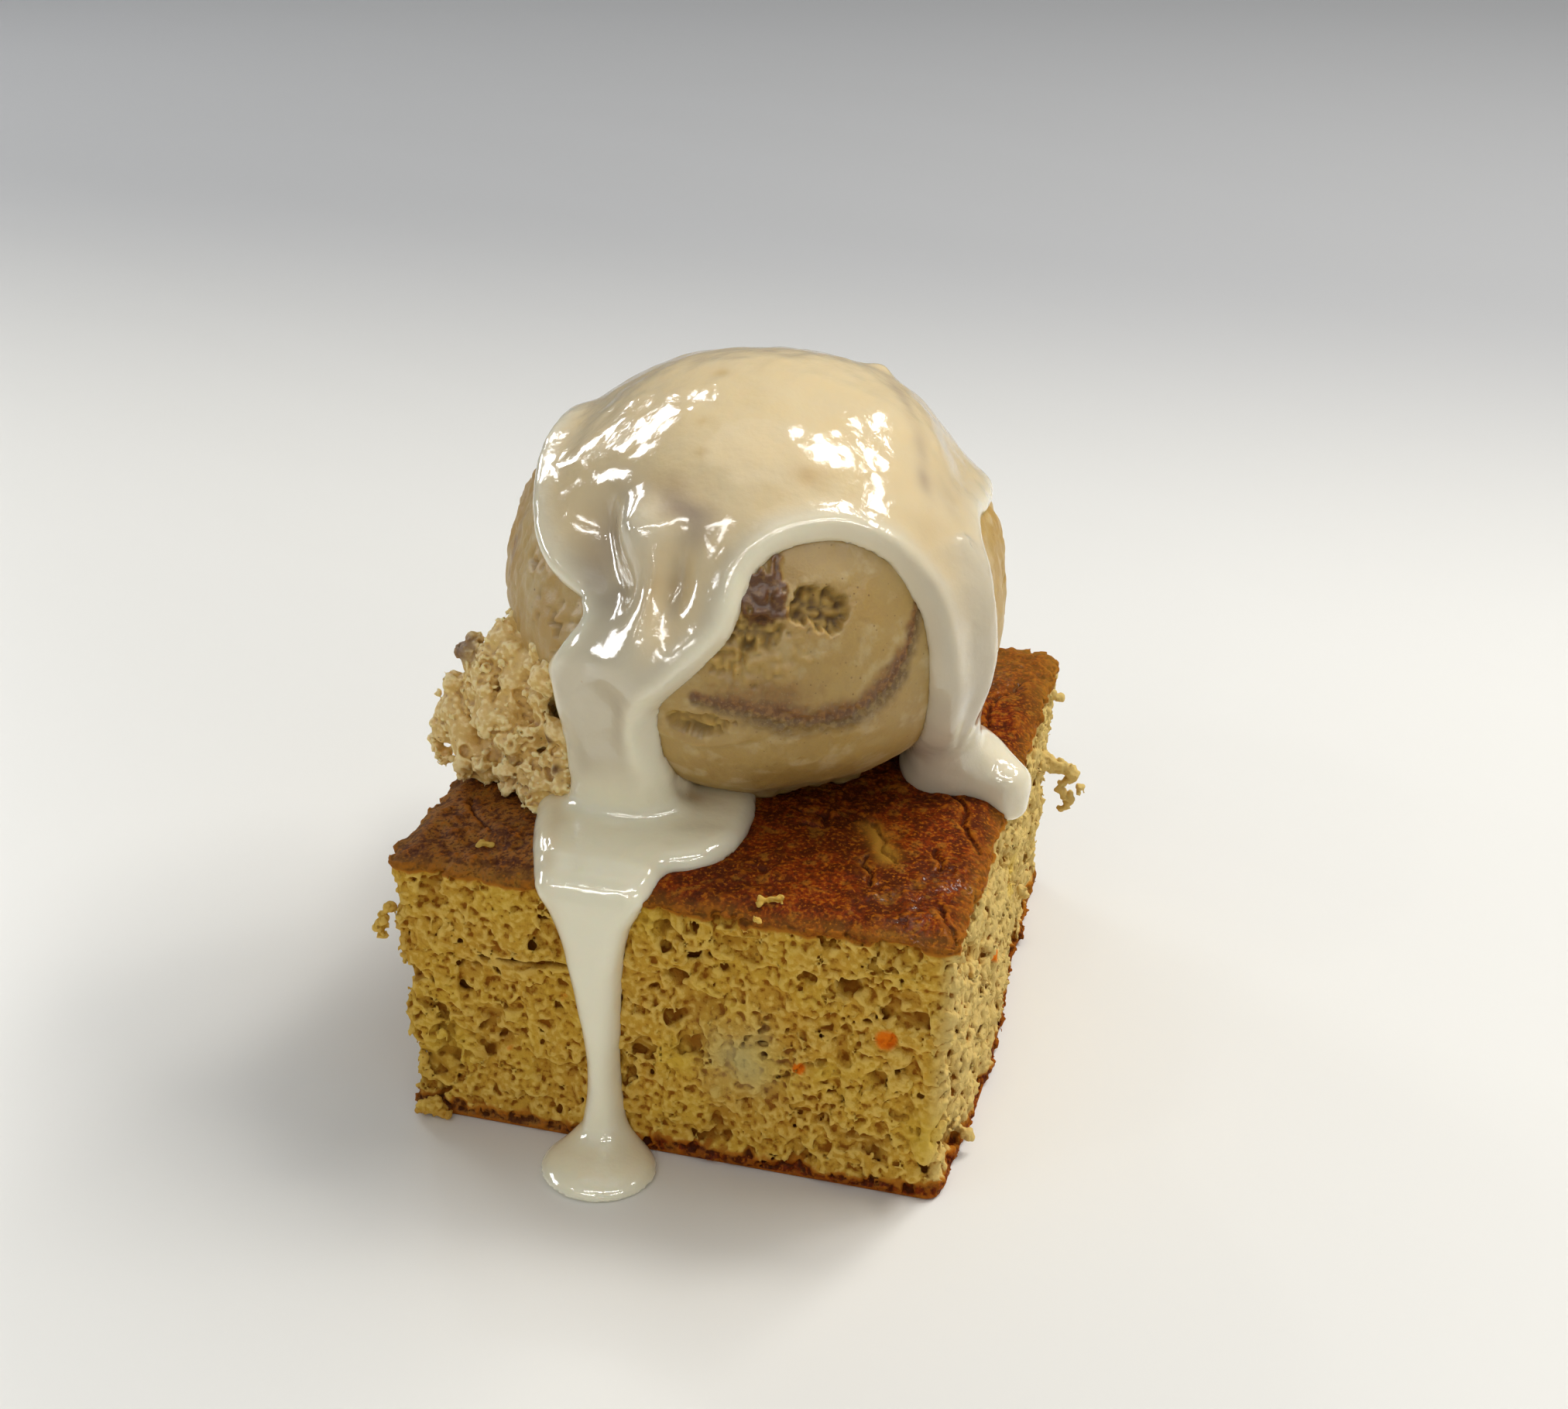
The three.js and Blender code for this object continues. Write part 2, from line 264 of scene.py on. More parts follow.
def joined_balls(points: Array, balls: Array, width: float) -> Array:
    """Depth inside balls that run together.

    Args:
        points: Rows of x, y, z.
        balls: Rows of x, y, z and radius.
        width: How far apart two surfaces may be and still be rounded together.

    Returns:
        The depth, negative outside.
    """
    depth = np.full(len(points), FAR_OUTSIDE)
    for ball in balls:
        depth = merge_high(depth, ball[3] - lengths(points - ball[:3]), width)
    return depth


def path_distance(points: Array, path: Array) -> tuple[Array, Array]:
    """The distance from points to a path of straight pieces.

    Args:
        points: Places, as rows of two or three coordinates.
        path: The path's corners, in the same coordinates.

    Returns:
        The distance, and how far along the path the nearest place is, from 0 to 1.
    """
    nearest = np.full(len(points), np.inf)
    along = np.zeros(len(points))
    spans = lengths(np.diff(path, axis=0))
    starts = np.concatenate([[0], np.cumsum(spans)])
    for a, b, start, length in zip(path[:-1], path[1:], starts, spans):
        share = np.clip((points - a) @ (b - a) / length**2, 0, 1)
        away = lengths(points - a - share[:, None] * (b - a))
        closer = away < nearest
        nearest = np.where(closer, away, nearest)
        along = np.where(closer, (start + share * length) / starts[-1], along)
    return nearest, along


def within(points: Array, outline: Array) -> Array:
    """Whether points in a plane are inside an outline, by the number of its edges to their right.

    Args:
        points: Places, as rows of two coordinates.
        outline: The outline's corners in order.

    Returns:
        True for each point inside.
    """
    inside = np.zeros(len(points), bool)
    for (x0, y0), (x1, y1) in zip(outline, np.roll(outline, -1, axis=0)):
        if y0 != y1:
            between = (points[:, 1] < y0) != (points[:, 1] < y1)
            crossing = x0 + (points[:, 1] - y0) * (x1 - x0) / (y1 - y0)
            inside ^= between & (points[:, 0] < crossing)
    return inside


def packed(places: Array, density: Array, count: int) -> Array:
    """Values from the first place to the last, packed closer where the density is higher."""
    total = np.cumsum(density)
    return np.interp(np.linspace(total[0], total[-1], count), total, places)


def spline(stations: Array, count: int, closed: bool = False) -> Array:
    """A smooth curve through stations, by the cubic through each four in turn.

    Args:
        stations: Rows of any number of coordinates.
        count: How many points to put between each two stations.
        closed: Whether the curve comes back to its start.

    Returns:
        The curve's points, as rows.
    """
    rows = len(stations)
    ends = (rows - 1, 0, 1) if closed else (0, rows - 1, rows - 1)
    padded = np.concatenate([stations[[ends[0]]], stations, stations[[ends[1], ends[2]]]])
    spans = rows if closed else rows - 1
    t = np.linspace(0, 1, count, endpoint=False)[None, :, None]
    p0, p1, p2, p3 = (padded[i : i + spans, None, :] for i in range(4))
    curve = p1 + 0.5 * t * (p2 - p0 + t * (2 * p0 - 5 * p1 + 4 * p2 - p3 + t * (3 * (p1 - p2) + p3 - p0)))
    curve = curve.reshape(-1, stations.shape[1])
    return curve if closed else np.concatenate([curve, stations[-1:]])


# ---- meshes ----


@dataclass
class Lattice:
    """A box of evenly spaced sample points."""

    low: Array
    high: Array
    step: float

    def axes(self) -> list[Array]:
        """The sample positions along x, y and z."""
        return [np.arange(a, b + self.step, self.step, dtype=np.float32) for a, b in zip(self.low, self.high)]

    def fill(self, rough: Array, near: Array, exact: Callable[[Array], Array], batch: int = 400_000) -> Array:
        """A field that is exact near its surface and rough elsewhere, worked out in batches.

        Args:
            rough: The field's first value at every sample.
            near: True where the exact field is needed.
            exact: Gives the field at rows of x, y, z.
            batch: How many samples are worked out at once.

        Returns:
            The field at every sample.
        """
        filled = rough.astype(np.float32)
        where = np.argwhere(near)
        for start in range(0, len(where), batch):
            cells = where[start : start + batch]
            points = np.asarray(self.low, np.float32) + cells.astype(np.float32) * np.float32(self.step)
            filled[tuple(cells.T)] = exact(points)
        return filled

    def surface(
        self, exact: Callable[[Array], Array], smallest: int, near: Array | None = None, rough: Array | None = None
    ) -> tuple[Array, Array]:
        """The surface of a field without its scraps, closed inside the box.

        Args:
            exact: Gives the field at rows of x, y, z.
            smallest: The fewest faces that a part of the surface needs to stay.
            near: True where the exact field is needed; everywhere if left out.
            rough: The field elsewhere; outside if left out.

        Returns:
            The vertices, and the quads as rows of four vertex numbers.
        """
        shape = tuple(len(axis) for axis in self.axes())
        solid = self.fill(
            np.full(shape, -1.0) if rough is None else rough, np.ones(shape, bool) if near is None else near, exact
        )
        for side in (np.s_[0], np.s_[-1]):
            solid[side] = solid[:, side] = solid[:, :, side] = -1
        vertices, quads = surface_net(solid, self.low, self.step)
        return vertices, main_shell(vertices, quads, smallest)


def surface_net(solid: Array, low: Array, step: float) -> tuple[Array, Array]:
    """The surface where a sampled field is 0, as quads that face away from its positive side.

    Every cell that the surface crosses has one vertex, the mean of the places where the cell's edges
    cross 0 along straight lines between samples. Every crossed lattice edge has one quad, between the
    four cells round it.

    Args:
        solid: The field on a lattice, negative all round its outside.
        low: The first sample's place.
        step: The lattice's spacing.

    Returns:
        The vertices, and the quads as rows of four vertex numbers.
    """
    inside = solid > 0
    spans = [slice(0, -1), slice(1, None)]
    count = sum(inside[i, j, k].astype(np.uint8) for i, j, k in itertools.product(spans, repeat=3))
    active = (count > 0) & (count < 8)
    cells = np.argwhere(active)
    number = np.full(active.shape, -1, np.int32)
    number[active] = np.arange(len(cells))
    total = np.zeros((len(cells), 3))
    hits = np.zeros(len(cells))
    quads = []
    for axis in range(3):
        across, up = (axis + 1) % 3, (axis + 2) % 3
        for i, j in itertools.product((0, 1), repeat=2):
            start = cells.copy()
            start[:, across] += i
            start[:, up] += j
            end = start.copy()
            end[:, axis] += 1
            a, b = solid[tuple(start.T)], solid[tuple(end.T)]
            crossed = (a > 0) != (b > 0)
            share = np.where(crossed, a / np.where(crossed, a - b, 1), 0)
            place = start.astype(float)
            place[:, axis] += share
            total += np.where(crossed[:, None], place, 0)
            hits += crossed
        first, second = np.moveaxis(inside, axis, 0)[:-1], np.moveaxis(inside, axis, 0)[1:]
        changed = np.moveaxis(first != second, 0, axis)
        edges = np.argwhere(changed)
        edges = edges[(edges[:, across] > 0) & (edges[:, up] > 0)]
        corner = []
        for i, j in ((-1, -1), (0, -1), (0, 0), (-1, 0)):
            cell = edges.copy()
            cell[:, across] += i
            cell[:, up] += j
            corner.append(number[tuple(cell.T)])
        quad = np.stack(corner, 1)
        backwards = ~inside[tuple(edges.T)]
        quad[backwards] = quad[backwards][:, ::-1]
        quads.append(quad)
    return np.asarray(low) + step * total / hits[:, None], np.concatenate(quads)


def edge_mean(values: Array, quads: Array) -> Array:
    """For each vertex, the mean of a value over the vertices that share an edge with it.

    Args:
        values: One row for each vertex.
        quads: The faces.

    Returns:
        The means, one row for each vertex.
    """
    start = quads.ravel()
    end = np.roll(quads, -1, axis=1).ravel()
    here, there = np.concatenate([start, end]), np.concatenate([end, start])
    shares = np.maximum(np.bincount(here, minlength=len(values)), 1)
    return np.stack([np.bincount(here, column[there], len(values)) / shares for column in values.T], 1)


def relax(vertices: Array, quads: Array, rounds: int) -> Array:
    """Evens out small dents: each round moves half way to the neighbours' mean and nearly back again.

    Args:
        vertices: The vertices.
        quads: The faces.
        rounds: How many times to do it.

    Returns:
        The moved vertices.
    """
    for _ in range(rounds):
        for share in (0.5, -0.52):
            vertices = vertices + share * (edge_mean(vertices, quads) - vertices)
    return vertices


def vertex_normals(vertices: Array, quads: Array) -> Array:
    """The outward direction at each vertex, from the cross products of its faces' diagonals.

    Args:
        vertices: The vertices.
        quads: The faces.

    Returns:
        Rows of unit length.
    """
    a, b, c, d = (vertices[quads[:, i]] for i in range(4))
    face = np.cross(c - a, d - b)
    total = np.stack([np.bincount(quads.ravel(), np.repeat(face[:, i], 4), len(vertices)) for i in range(3)], 1)
    return total / np.maximum(np.linalg.norm(total, axis=1, keepdims=True), 1e-12)


def standing(vertices: Array, quads: Array, rounds: int) -> Array:
    """How far each vertex stands out of the surface's mean over some rounds of its neighbours.

    Args:
        vertices: The vertices.
        quads: The faces.
        rounds: How many edges away the mean reaches.

    Returns:
        The distance outwards, over the distances' own spread.
    """
    smooth = vertices
    for _ in range(rounds):
        smooth = edge_mean(smooth, quads)
    out = ((vertices - smooth) * vertex_normals(vertices, quads)).sum(1)
    return out / out.std()


def main_shell(vertices: Array, quads: Array, smallest: int) -> Array:
    """Leaves out the scraps that noise cuts loose: parts of a surface with only a few faces.

    Every vertex takes the lowest number in its part, passed along the edges until nothing changes.

    Args:
        vertices: The vertices.
        quads: The faces.
        smallest: The fewest faces that a part needs to stay.

    Returns:
        The faces that stay.
    """
    part = np.arange(len(vertices))
    while True:
        lowest = part[quads].min(1)
        fresh = part.copy()
        np.minimum.at(fresh, quads.ravel(), np.repeat(lowest, 4))
        fresh = fresh[fresh]
        if np.array_equal(fresh, part):
            break
        part = fresh
    owner = part[quads[:, 0]]
    return quads[np.bincount(owner, minlength=len(vertices))[owner] >= smallest]


def make_piece(
    name: str,
    vertices: Array,
    faces: list[Array],
    masks: dict[str, Array],
    material: Material,
    node: Node,
    slot: Slot,
) -> Piece:
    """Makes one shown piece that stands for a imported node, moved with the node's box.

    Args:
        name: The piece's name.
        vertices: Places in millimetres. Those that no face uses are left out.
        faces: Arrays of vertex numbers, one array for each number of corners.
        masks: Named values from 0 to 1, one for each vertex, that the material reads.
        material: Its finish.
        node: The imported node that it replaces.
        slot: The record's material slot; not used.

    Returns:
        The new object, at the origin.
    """
    shift = np.sum(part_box(node.value), 0) / 2 - MM * np.array(DRAWN[node])
    used = np.unique(np.concatenate([part.ravel() for part in faces]))
    renumber = np.full(len(vertices), -1, np.int64)
    renumber[used] = np.arange(len(used))
    corners = np.concatenate([renumber[part].ravel() for part in faces])
    sizes = np.concatenate([np.full(len(part), part.shape[1]) for part in faces])
    mesh = bpy.data.meshes.new(name)
    mesh.vertices.add(len(used))
    mesh.vertices.foreach_set("co", (vertices[used] * MM + shift).astype(np.float32).ravel())
    mesh.loops.add(len(corners))
    mesh.loops.foreach_set("vertex_index", corners.astype(np.int32))
    mesh.polygons.add(len(sizes))
    mesh.polygons.foreach_set("loop_start", np.concatenate([[0], np.cumsum(sizes)[:-1]]).astype(np.int32))
    mesh.update(calc_edges=True)
    for mask, values in masks.items():
        layer = mesh.attributes.new(mask, "FLOAT", "POINT")
        layer.data.foreach_set("value", np.clip(values[used], 0, 1).astype(np.float32))
    mesh.shade_smooth()
    mesh.materials.append(material)
    piece = bpy.data.objects.new(name, mesh)
    bpy.context.scene.collection.objects.link(piece)
    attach(piece, BODY)
    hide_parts(node.value)
    log.info("%s: %d triangles", name, int((sizes - 2).sum()))
    return piece


# ---- the cake ----


@dataclass
class Cake:
    """The square of sheet cake: open ragged crumb between a browned crust and a thin base crust."""

    width: float = 76
    depth: float = 86
    height: float = 42
    flare: float = 0.8
    dome: float = 1.2
    turned_edge: float = 0.9
    crust_overhang: float = 0.6
    base_spread: float = 0.6
    cut_hollow: float = 0.4
    side_bulge: float = 1.9
    step: float = 0.33
    shell: float = 3.6
    pore_reach: float = 2.6
    noise: list[Noise] = field(default_factory=lambda: draw_noises(11, 6), repr=False)
    grains: Bubbles = field(default_factory=lambda: Bubbles(24, 1.15, 0.3, 0.56, 0.95), repr=False)
    pores: list[Bubbles] = field(
        default_factory=lambda: [
            Bubbles(21, 1.5, 0.2, 0.5, 0.35),
            Bubbles(22, 2.7, 0.4, 0.95, 0.45),
            Bubbles(23, 6.4, 0.9, 1.7, 0.35),
        ],
        repr=False,
    )

    # Open caves in the front face: x, z, radius, and how far in the middle is.
    CAVES = np.array([
        (24.2, 32.2, 1.9, 0.5), (19.3, 33.1, 1.2, 0.4), (13.6, 29.9, 1.2, 0.3), (1.3, 29.7, 1.8, 0.6),
        (1, 23.1, 1.7, 0.6), (24.1, 25.2, 1.2, 0.4), (24, 20.6, 1.3, 0.4), (34.1, 28.9, 1.6, 0.6),
        (28.9, 18.4, 1.5, 0.5), (18.7, 10.9, 1.2, 0.4), (21.6, 5.9, 1.2, 0.3), (32.7, 13.9, 1.4, 0.5),
        (-0.5, 36.2, 1.2, 0.4), (3.6, 33.6, 1.1, 0.4), (-5, 4.5, 1.6, 0.2), (-25.5, 28.2, 1.2, 0.3),
        (-30.5, 18, 1.3, 0.5), (-21, 20.5, 1.2, 0.4), (13, 23.5, 1, 0.3), (29.4, 11, 1.3, 0.4),
    ])
    # Clumps that stand out of the front face: x, z, radius.
    CLUMPS = np.array([(26.4, 31, 1.5), (31.3, 22.4, 1.6), (35, 8, 2), (16, 31.5, 1.5), (6.5, 12.5, 1.8)])
    # Cracks in the crust, as plan positions.
    CRACKS = [
        [(29.5, -6.1), (33.1, -11.8), (34.2, -16), (36.5, -20.4)],
        [(31.2, -23), (32, -25), (32.7, -27.3)],
        [(23, -27.4), (23.4, -30.6), (24.9, -33.4)],
        [(34.6, -35.9), (36, -38.5), (38, -41.5)],
        [(12.2, -19.4), (15.4, -19.7), (15.8, -22.2), (12.9, -22.4)],
        [(22, -19.5), (24.6, -22.2), (24.2, -25.6), (26.6, -27.5)],
        [(28, 8), (32, 14), (30.5, 21), (34, 29)],
        [(20, 26), (24, 31), (23, 37)],
        [(-30, 5), (-33, 14), (-30, 24), (-35, 33)],
        [(-14, 27), (-8, 33), (-10, 40)],
        [(-27, -34), (-31, -31), (-33.5, -26)],
    ]
    # Places where the crust is glazed: x, y, radius.
    GLAZES = np.array([(28.3, -34.8, 3.4), (33.3, -29.5, 3), (31.8, -39.5, 3), (21.1, -28, 2.2), (30, 30, 4)])
    # Bits of fruit or spice in the cut faces: x, y, z, radius.
    FLECKS = np.array([
        (29.5, -43, 25.3, 1.5), (18, -43, 18.3, 0.8), (-14.7, -43, 23.2, 0.9), (-22.9, -43, 13.3, 0.9),
        (39, -12, 20, 0.9), (39, 21, 12, 1.1), (-38.5, 8, 24, 1.2), (9, 43, 17, 1.2), (-19, 43, 29, 1),
    ])

    def crust_height(self, x: Array, y: Array) -> Array:
        """The crust's height over the cake's plan.

        Args:
            x: Places across the cake.
            y: Places along it.

        Returns:
            A low dome with soft swells, turned down at the cut edges.
        """
        across, along = np.abs(x) / (self.width / 2), np.abs(y) / (self.depth / 2)
        dome = self.dome * (1 - across**4) * (1 - along**4)
        swell = 0.23 * np.sin(x / 12 + 0.6) * np.cos(1.3 * y / 14 + 1.26)
        swell = swell + 0.12 * np.sin(2.3 * x / 12 + 1.9 * y / 14 + 2.22)
        return self.height + dome + swell - self.turned_edge * ease(0.93, 1, np.maximum(across, along))

    def cut_profile(self, z: Array) -> Array:
        """How far a cut face stands out: both crusts overhang a slight hollow.

        Args:
            z: Heights over the table.

        Returns:
            The distance past the cake's plain half size.
        """
        overhang = self.crust_overhang * ease(self.height - 4, self.height - 1, z)
        foot = self.base_spread * ease(3.6, 0, z)
        return self.flare * (z / self.height - 0.5) + overhang + foot - self.cut_hollow

    def depths(self, x: Array, y: Array, z: Array) -> tuple[Array, Array, Array, Array]:
        """Depths below the plain shape's surfaces.

        Args:
            x: Places across the cake.
            y: Places along it.
            z: Heights over the table.

        Returns:
            The depths below the side faces, the front and back, the crust, and the underside.
        """
        profile = self.cut_profile(z)
        bulge = (self.side_bulge * bell((y + 12) / 22) - 0.6) * ease(32, 8, z) * ease(0, 20, x)
        return (
            self.width / 2 + profile + bulge - np.abs(x),
            self.depth / 2 + profile - np.abs(y),
            self.crust_height(x, y) - z,
            z + 0 * x,
        )

    def body(self, x: Array, y: Array, z: Array) -> Array:
        """The plain cake: the least of its four depths, with the edges rounded."""
        side, end, top, bottom = self.depths(x, y, z)
        return merge_low(merge_low(merge_low(side, end, 2.4), top, 1.3), bottom, 0.5)

    def crumbness(self, points: Array) -> Array:
        """How open the crumb is.

        Args:
            points: Rows of x, y, z.

        Returns:
            1 in the open crumb, falling to 0 in the close-grained crusts.
        """
        top = self.crust_height(points[:, 0], points[:, 1]) - points[:, 2]
        ragged = 0.5 * self.noise[3].at(points, 2.2)
        return ease(0.6, 1.9, top + ragged) * ease(-0.2, 1.2, points[:, 2] + ragged)

    def relief(self, points: Array) -> Array:
        """The crust's own relief: wrinkles and a pebble grain, with cracks across it.

        It is rougher over the far corner on the right and in drifts.

        Args:
            points: Rows of x, y, z.

        Returns:
            What the field gains there.
        """
        flat = points * np.array([1, 1, 0.25], np.float32)
        patches = self.noise[5].at(flat, 9.0)
        rough = 0.55 + 0.9 * ease(-0.1, 0.5, patches) + 0.9 * ease(16, 34, points[:, 1]) * ease(10, 26, points[:, 0])
        grain = 0.11 * self.noise[4].clumps(flat, 0.9) + 0.2 * self.noise[2].fractal(flat, 1.7, 3)
        grain = rough * grain + 0.2 * self.noise[5].at(flat, 2.6) + 0.28 * self.noise[3].at(flat, 6.5)
        wander = sway(points, self.noise[1:3], 2.4) * 0.6
        wander += 0.3 * sway(points, self.noise[:5:4], 0.9)
        plan = points[:, :2] + wander
        crack = sum(bell(path_distance(plan, np.array(path))[0] / 0.36) for path in self.CRACKS)
        return grain - 0.7 * np.minimum(crack, 1)

    def crumb(self, points: Array) -> Array:
        """The exact field near the surface.

        The plain body is torn to ragged flakes at several depths: each of two sums of noise over halving
        cells, taken through a steep step, drops the surface by a fixed amount, less so at the upright
        edges. Fine noise and small round grains cover the flakes. Bubbles of three sizes and the open
        caves are taken out, bent out of round by noise, and the bubbles end a little below the surface.

        Args:
            points: Rows of x, y, z.

        Returns:
            The field, positive inside.
        """
        x, y, z = points.T
        plain = self.body(x, y, z)
        side, end, top, bottom = self.depths(x, y, z)
        open_crumb = self.crumbness(points)
        bent = points + 0.55 * sway(points, self.noise[3:], 1.7)
        bent += 0.36 * sway(points, self.noise[:3], 0.75)
        torn = self.noise[0].fractal(bent, 3.6, 3)
        flake = self.noise[1].fractal(bent, 1.7, 2)
        drop = 0.3 + 0.7 * ease(0, 4.5, np.abs(side - end) + np.minimum(side, end))
        rough = 0.3 + 0.36 * self.noise[2].at(points, 7.0) + 0.34 * self.noise[2].fractal(bent, 1.25, 3)
        steps = 1.2 * ease(-0.12, -0.45, torn) + 0.6 * ease(-0.08, -0.36, flake) - 0.3 * ease(0.2, 0.5, torn)
        rough -= drop * steps
        edge = 0.3 * self.noise[0].at(points, 2.4) + 0.34 * self.noise[2].at(points, 1.2)
        edge += 0.22 * self.noise[1].clumps(points, 0.8)
        on_side = np.minimum(side, end) < np.minimum(top, bottom + 0.4)
        solid = plain + np.where(on_side, edge + open_crumb * (rough - edge), 0)
        solid = solid + np.where(top < 1.6, self.relief(points), 0)
        kept = np.minimum(-self.grains.distance(points + 0.3 * (bent - points)), solid + 0.44 * open_crumb - 0.1)
        solid = np.where(top > 1.2, merge_high(solid, kept, 0.12), solid)
        close = 4 * (1 - open_crumb) + 6 * ease(self.pore_reach, self.shell, plain)
        for pores in self.pores:
            solid = merge_low(solid, pores.distance(bent) + close, 0.25)
        for cave_x, cave_z, radius, inward in self.CAVES:
            centre = np.array([cave_x, -self.depth / 2 + inward, cave_z])
            solid = merge_low(solid, lengths(bent - centre) - 0.85 * radius, 0.3)
        for clump_x, clump_z, radius in self.CLUMPS:
            centre = np.array([clump_x, -self.depth / 2 + radius - 0.7, clump_z])
            solid = merge_high(solid, radius - lengths(bent - centre), 0.4)
        slit = np.hypot((x + 18.4) / 5.5, (z - 28.1 - 0.25 * self.noise[3].at(points, 2)) / 0.5)
        solid = merge_low(solid, np.maximum(0.6 * (slit - 1), -y - 44) + 2.4 * ease(-41.6, -40.4, y), 0.2)
        notch = lengths((bent - np.array([8.4, -43.2, 39.9])) / np.array([2.6, 1.3, 0.9]))
        solid = merge_low(solid, 0.9 * (notch - 1), 0.3)
        return np.where(bottom < 0.35, plain, solid)

    def masks(self, points: Array, quads: Array) -> dict[str, Array]:
        """The values that the finish reads at each vertex.

        Args:
            points: The vertices.
            quads: The faces.

        Returns:
            toast: how browned. hollow: how far down below the cut faces, as in pores and caves, which the finish
                darkens as painted shade.
            crest: how far a bump stands out of its surroundings, which the finish turns into painted highlight on
                bumps and painted shade between them. pale, yolk, fleck, bare and glaze: patches of colour or gloss.
            dry: the right side face, which the finish paints paler as painted light.
        """
        x, y, z = points.T
        side, end, top, bottom = self.depths(x, y, z)
        ragged = 0.4 * self.noise[3].at(points, 2.2) + 0.3 * self.noise[1].at(points, 0.9)
        crust = ease(2.0, 0.5, top + ragged)
        base = ease(3.1, 1.2, bottom + 1.7 * ragged)
        # How far down below the cut faces; the finish darkens it as painted shade.
        hollow = ease(0.3, 1.7, np.minimum(np.minimum(side, end), np.minimum(top + 0.6, 3)))
        # How far a bump stands out; the finish paints bumps paler and the places between them darker, as painted
        # highlight and shade.
        crest = standing(points, quads, 2) + standing(points, quads, 12)
        patch = 0.35 * self.noise[1].at(points, 3.2)
        pale = bell(lengths((points - [10.4, -43.2, 17.6]) / [4.6, 3, 5]) + patch)
        pale += 0.8 * bell(lengths((points - [-20, 43, 16]) / [5, 3, 4]) + patch)
        yolk = sum(
            bell(lengths((points - spot) / size) + patch)
            for spot, size in (
                ([0.9, -43, 16.6], 2.6), ([-2, -43, 37.6], 3.0), ([22, -43, 18], 1.6), ([36, -43, 11], 4.2),
                ([-31, -43, 12], 3.6), ([38, 5, 22], 4.0),
            )
        )
        fleck = sum(ease(1.15, 0.7, lengths(points - [a, b, c]) / r + patch) for a, b, c, r in self.FLECKS)
        glaze = sum(bell(np.hypot(x - a, y - b) / r) for a, b, r in self.GLAZES) * ease(2, 1, top)
        path = np.array([(22.2, -20.4), (23.6, -23.4), (25.6, -26.9)])
        bare = bell(path_distance(points[:, :2], path)[0] / 1.5 + patch) * ease(2, 1, top)
        near_cut = ease(3.2, 0.4, np.minimum(side, end) + 2 * patch) * ease(2.5, 0.5, top)
        # Painted light: the right side face, paler where light falls on it.
        dry = ease(2.5, -0.5, side) * ease(20, 36, x) * (1 - np.maximum(crust, base))
        return {
            "toast": np.maximum(crust, base),
            "hollow": hollow,
            "crest": 0.5 + 0.125 * crest,
            "pale": pale,
            "yolk": yolk,
            "fleck": fleck,
            "glaze": glaze,
            "bare": bare + 0.25 * near_cut + 0.3 * ease(18, 36, y) * ease(14, 30, x),
            "dry": dry,
        }

    def build(self, finish: Material) -> list[Piece]:
        """Makes the crust, the base and the cut faces, whose vertices coincide where they meet.

        Args:
            finish: The cake's material.

        Returns:
            The eight pieces.
        """
        lattice = Lattice(np.array([-41.5, -46.5, -1.0]), np.array([41.5, 46.5, 45.5]), self.step)
        xs, ys, zs = lattice.axes()
        rough = self.body(xs[:, None, None], ys[None, :, None], zs[None, None, :])
        near = (rough > -2.4) & (rough < self.shell) & (zs > 0.3)[None, None, :]
        vertices, quads = lattice.surface(self.crumb, 3000, near, rough)
        masks = self.masks(vertices, quads)
        centre = vertices[quads].mean(1)
        side, end, top, bottom = self.depths(*centre.T)
        is_top = (top < 1.7) & (top < np.minimum(side, end) + 2.5)
        is_base = (bottom < 1.2) & ~is_top
        is_end = (end < side) & ~is_top & ~is_base
        is_side = ~is_end & ~is_top & ~is_base
        left, ahead = centre[:, 0] < 0, centre[:, 1] < 0
        regions = {
            "cake_crust": is_top,
            "cake_base": is_base,
            "cake_front": is_end & ahead,
            "cake_back": is_end & ~ahead,
            "cake_left_front": is_side & left & ahead,
            "cake_left_rear": is_side & left & ~ahead,
            "cake_right_front": is_side & ~left & ahead,
            "cake_right_rear": is_side & ~left & ~ahead,
        }
        return [
            make_piece(name, vertices, [quads[chosen]], masks, finish, Node.CAKE, Slot.CAKE)
            for name, chosen in regions.items()
        ]


# ---- the scoop ----


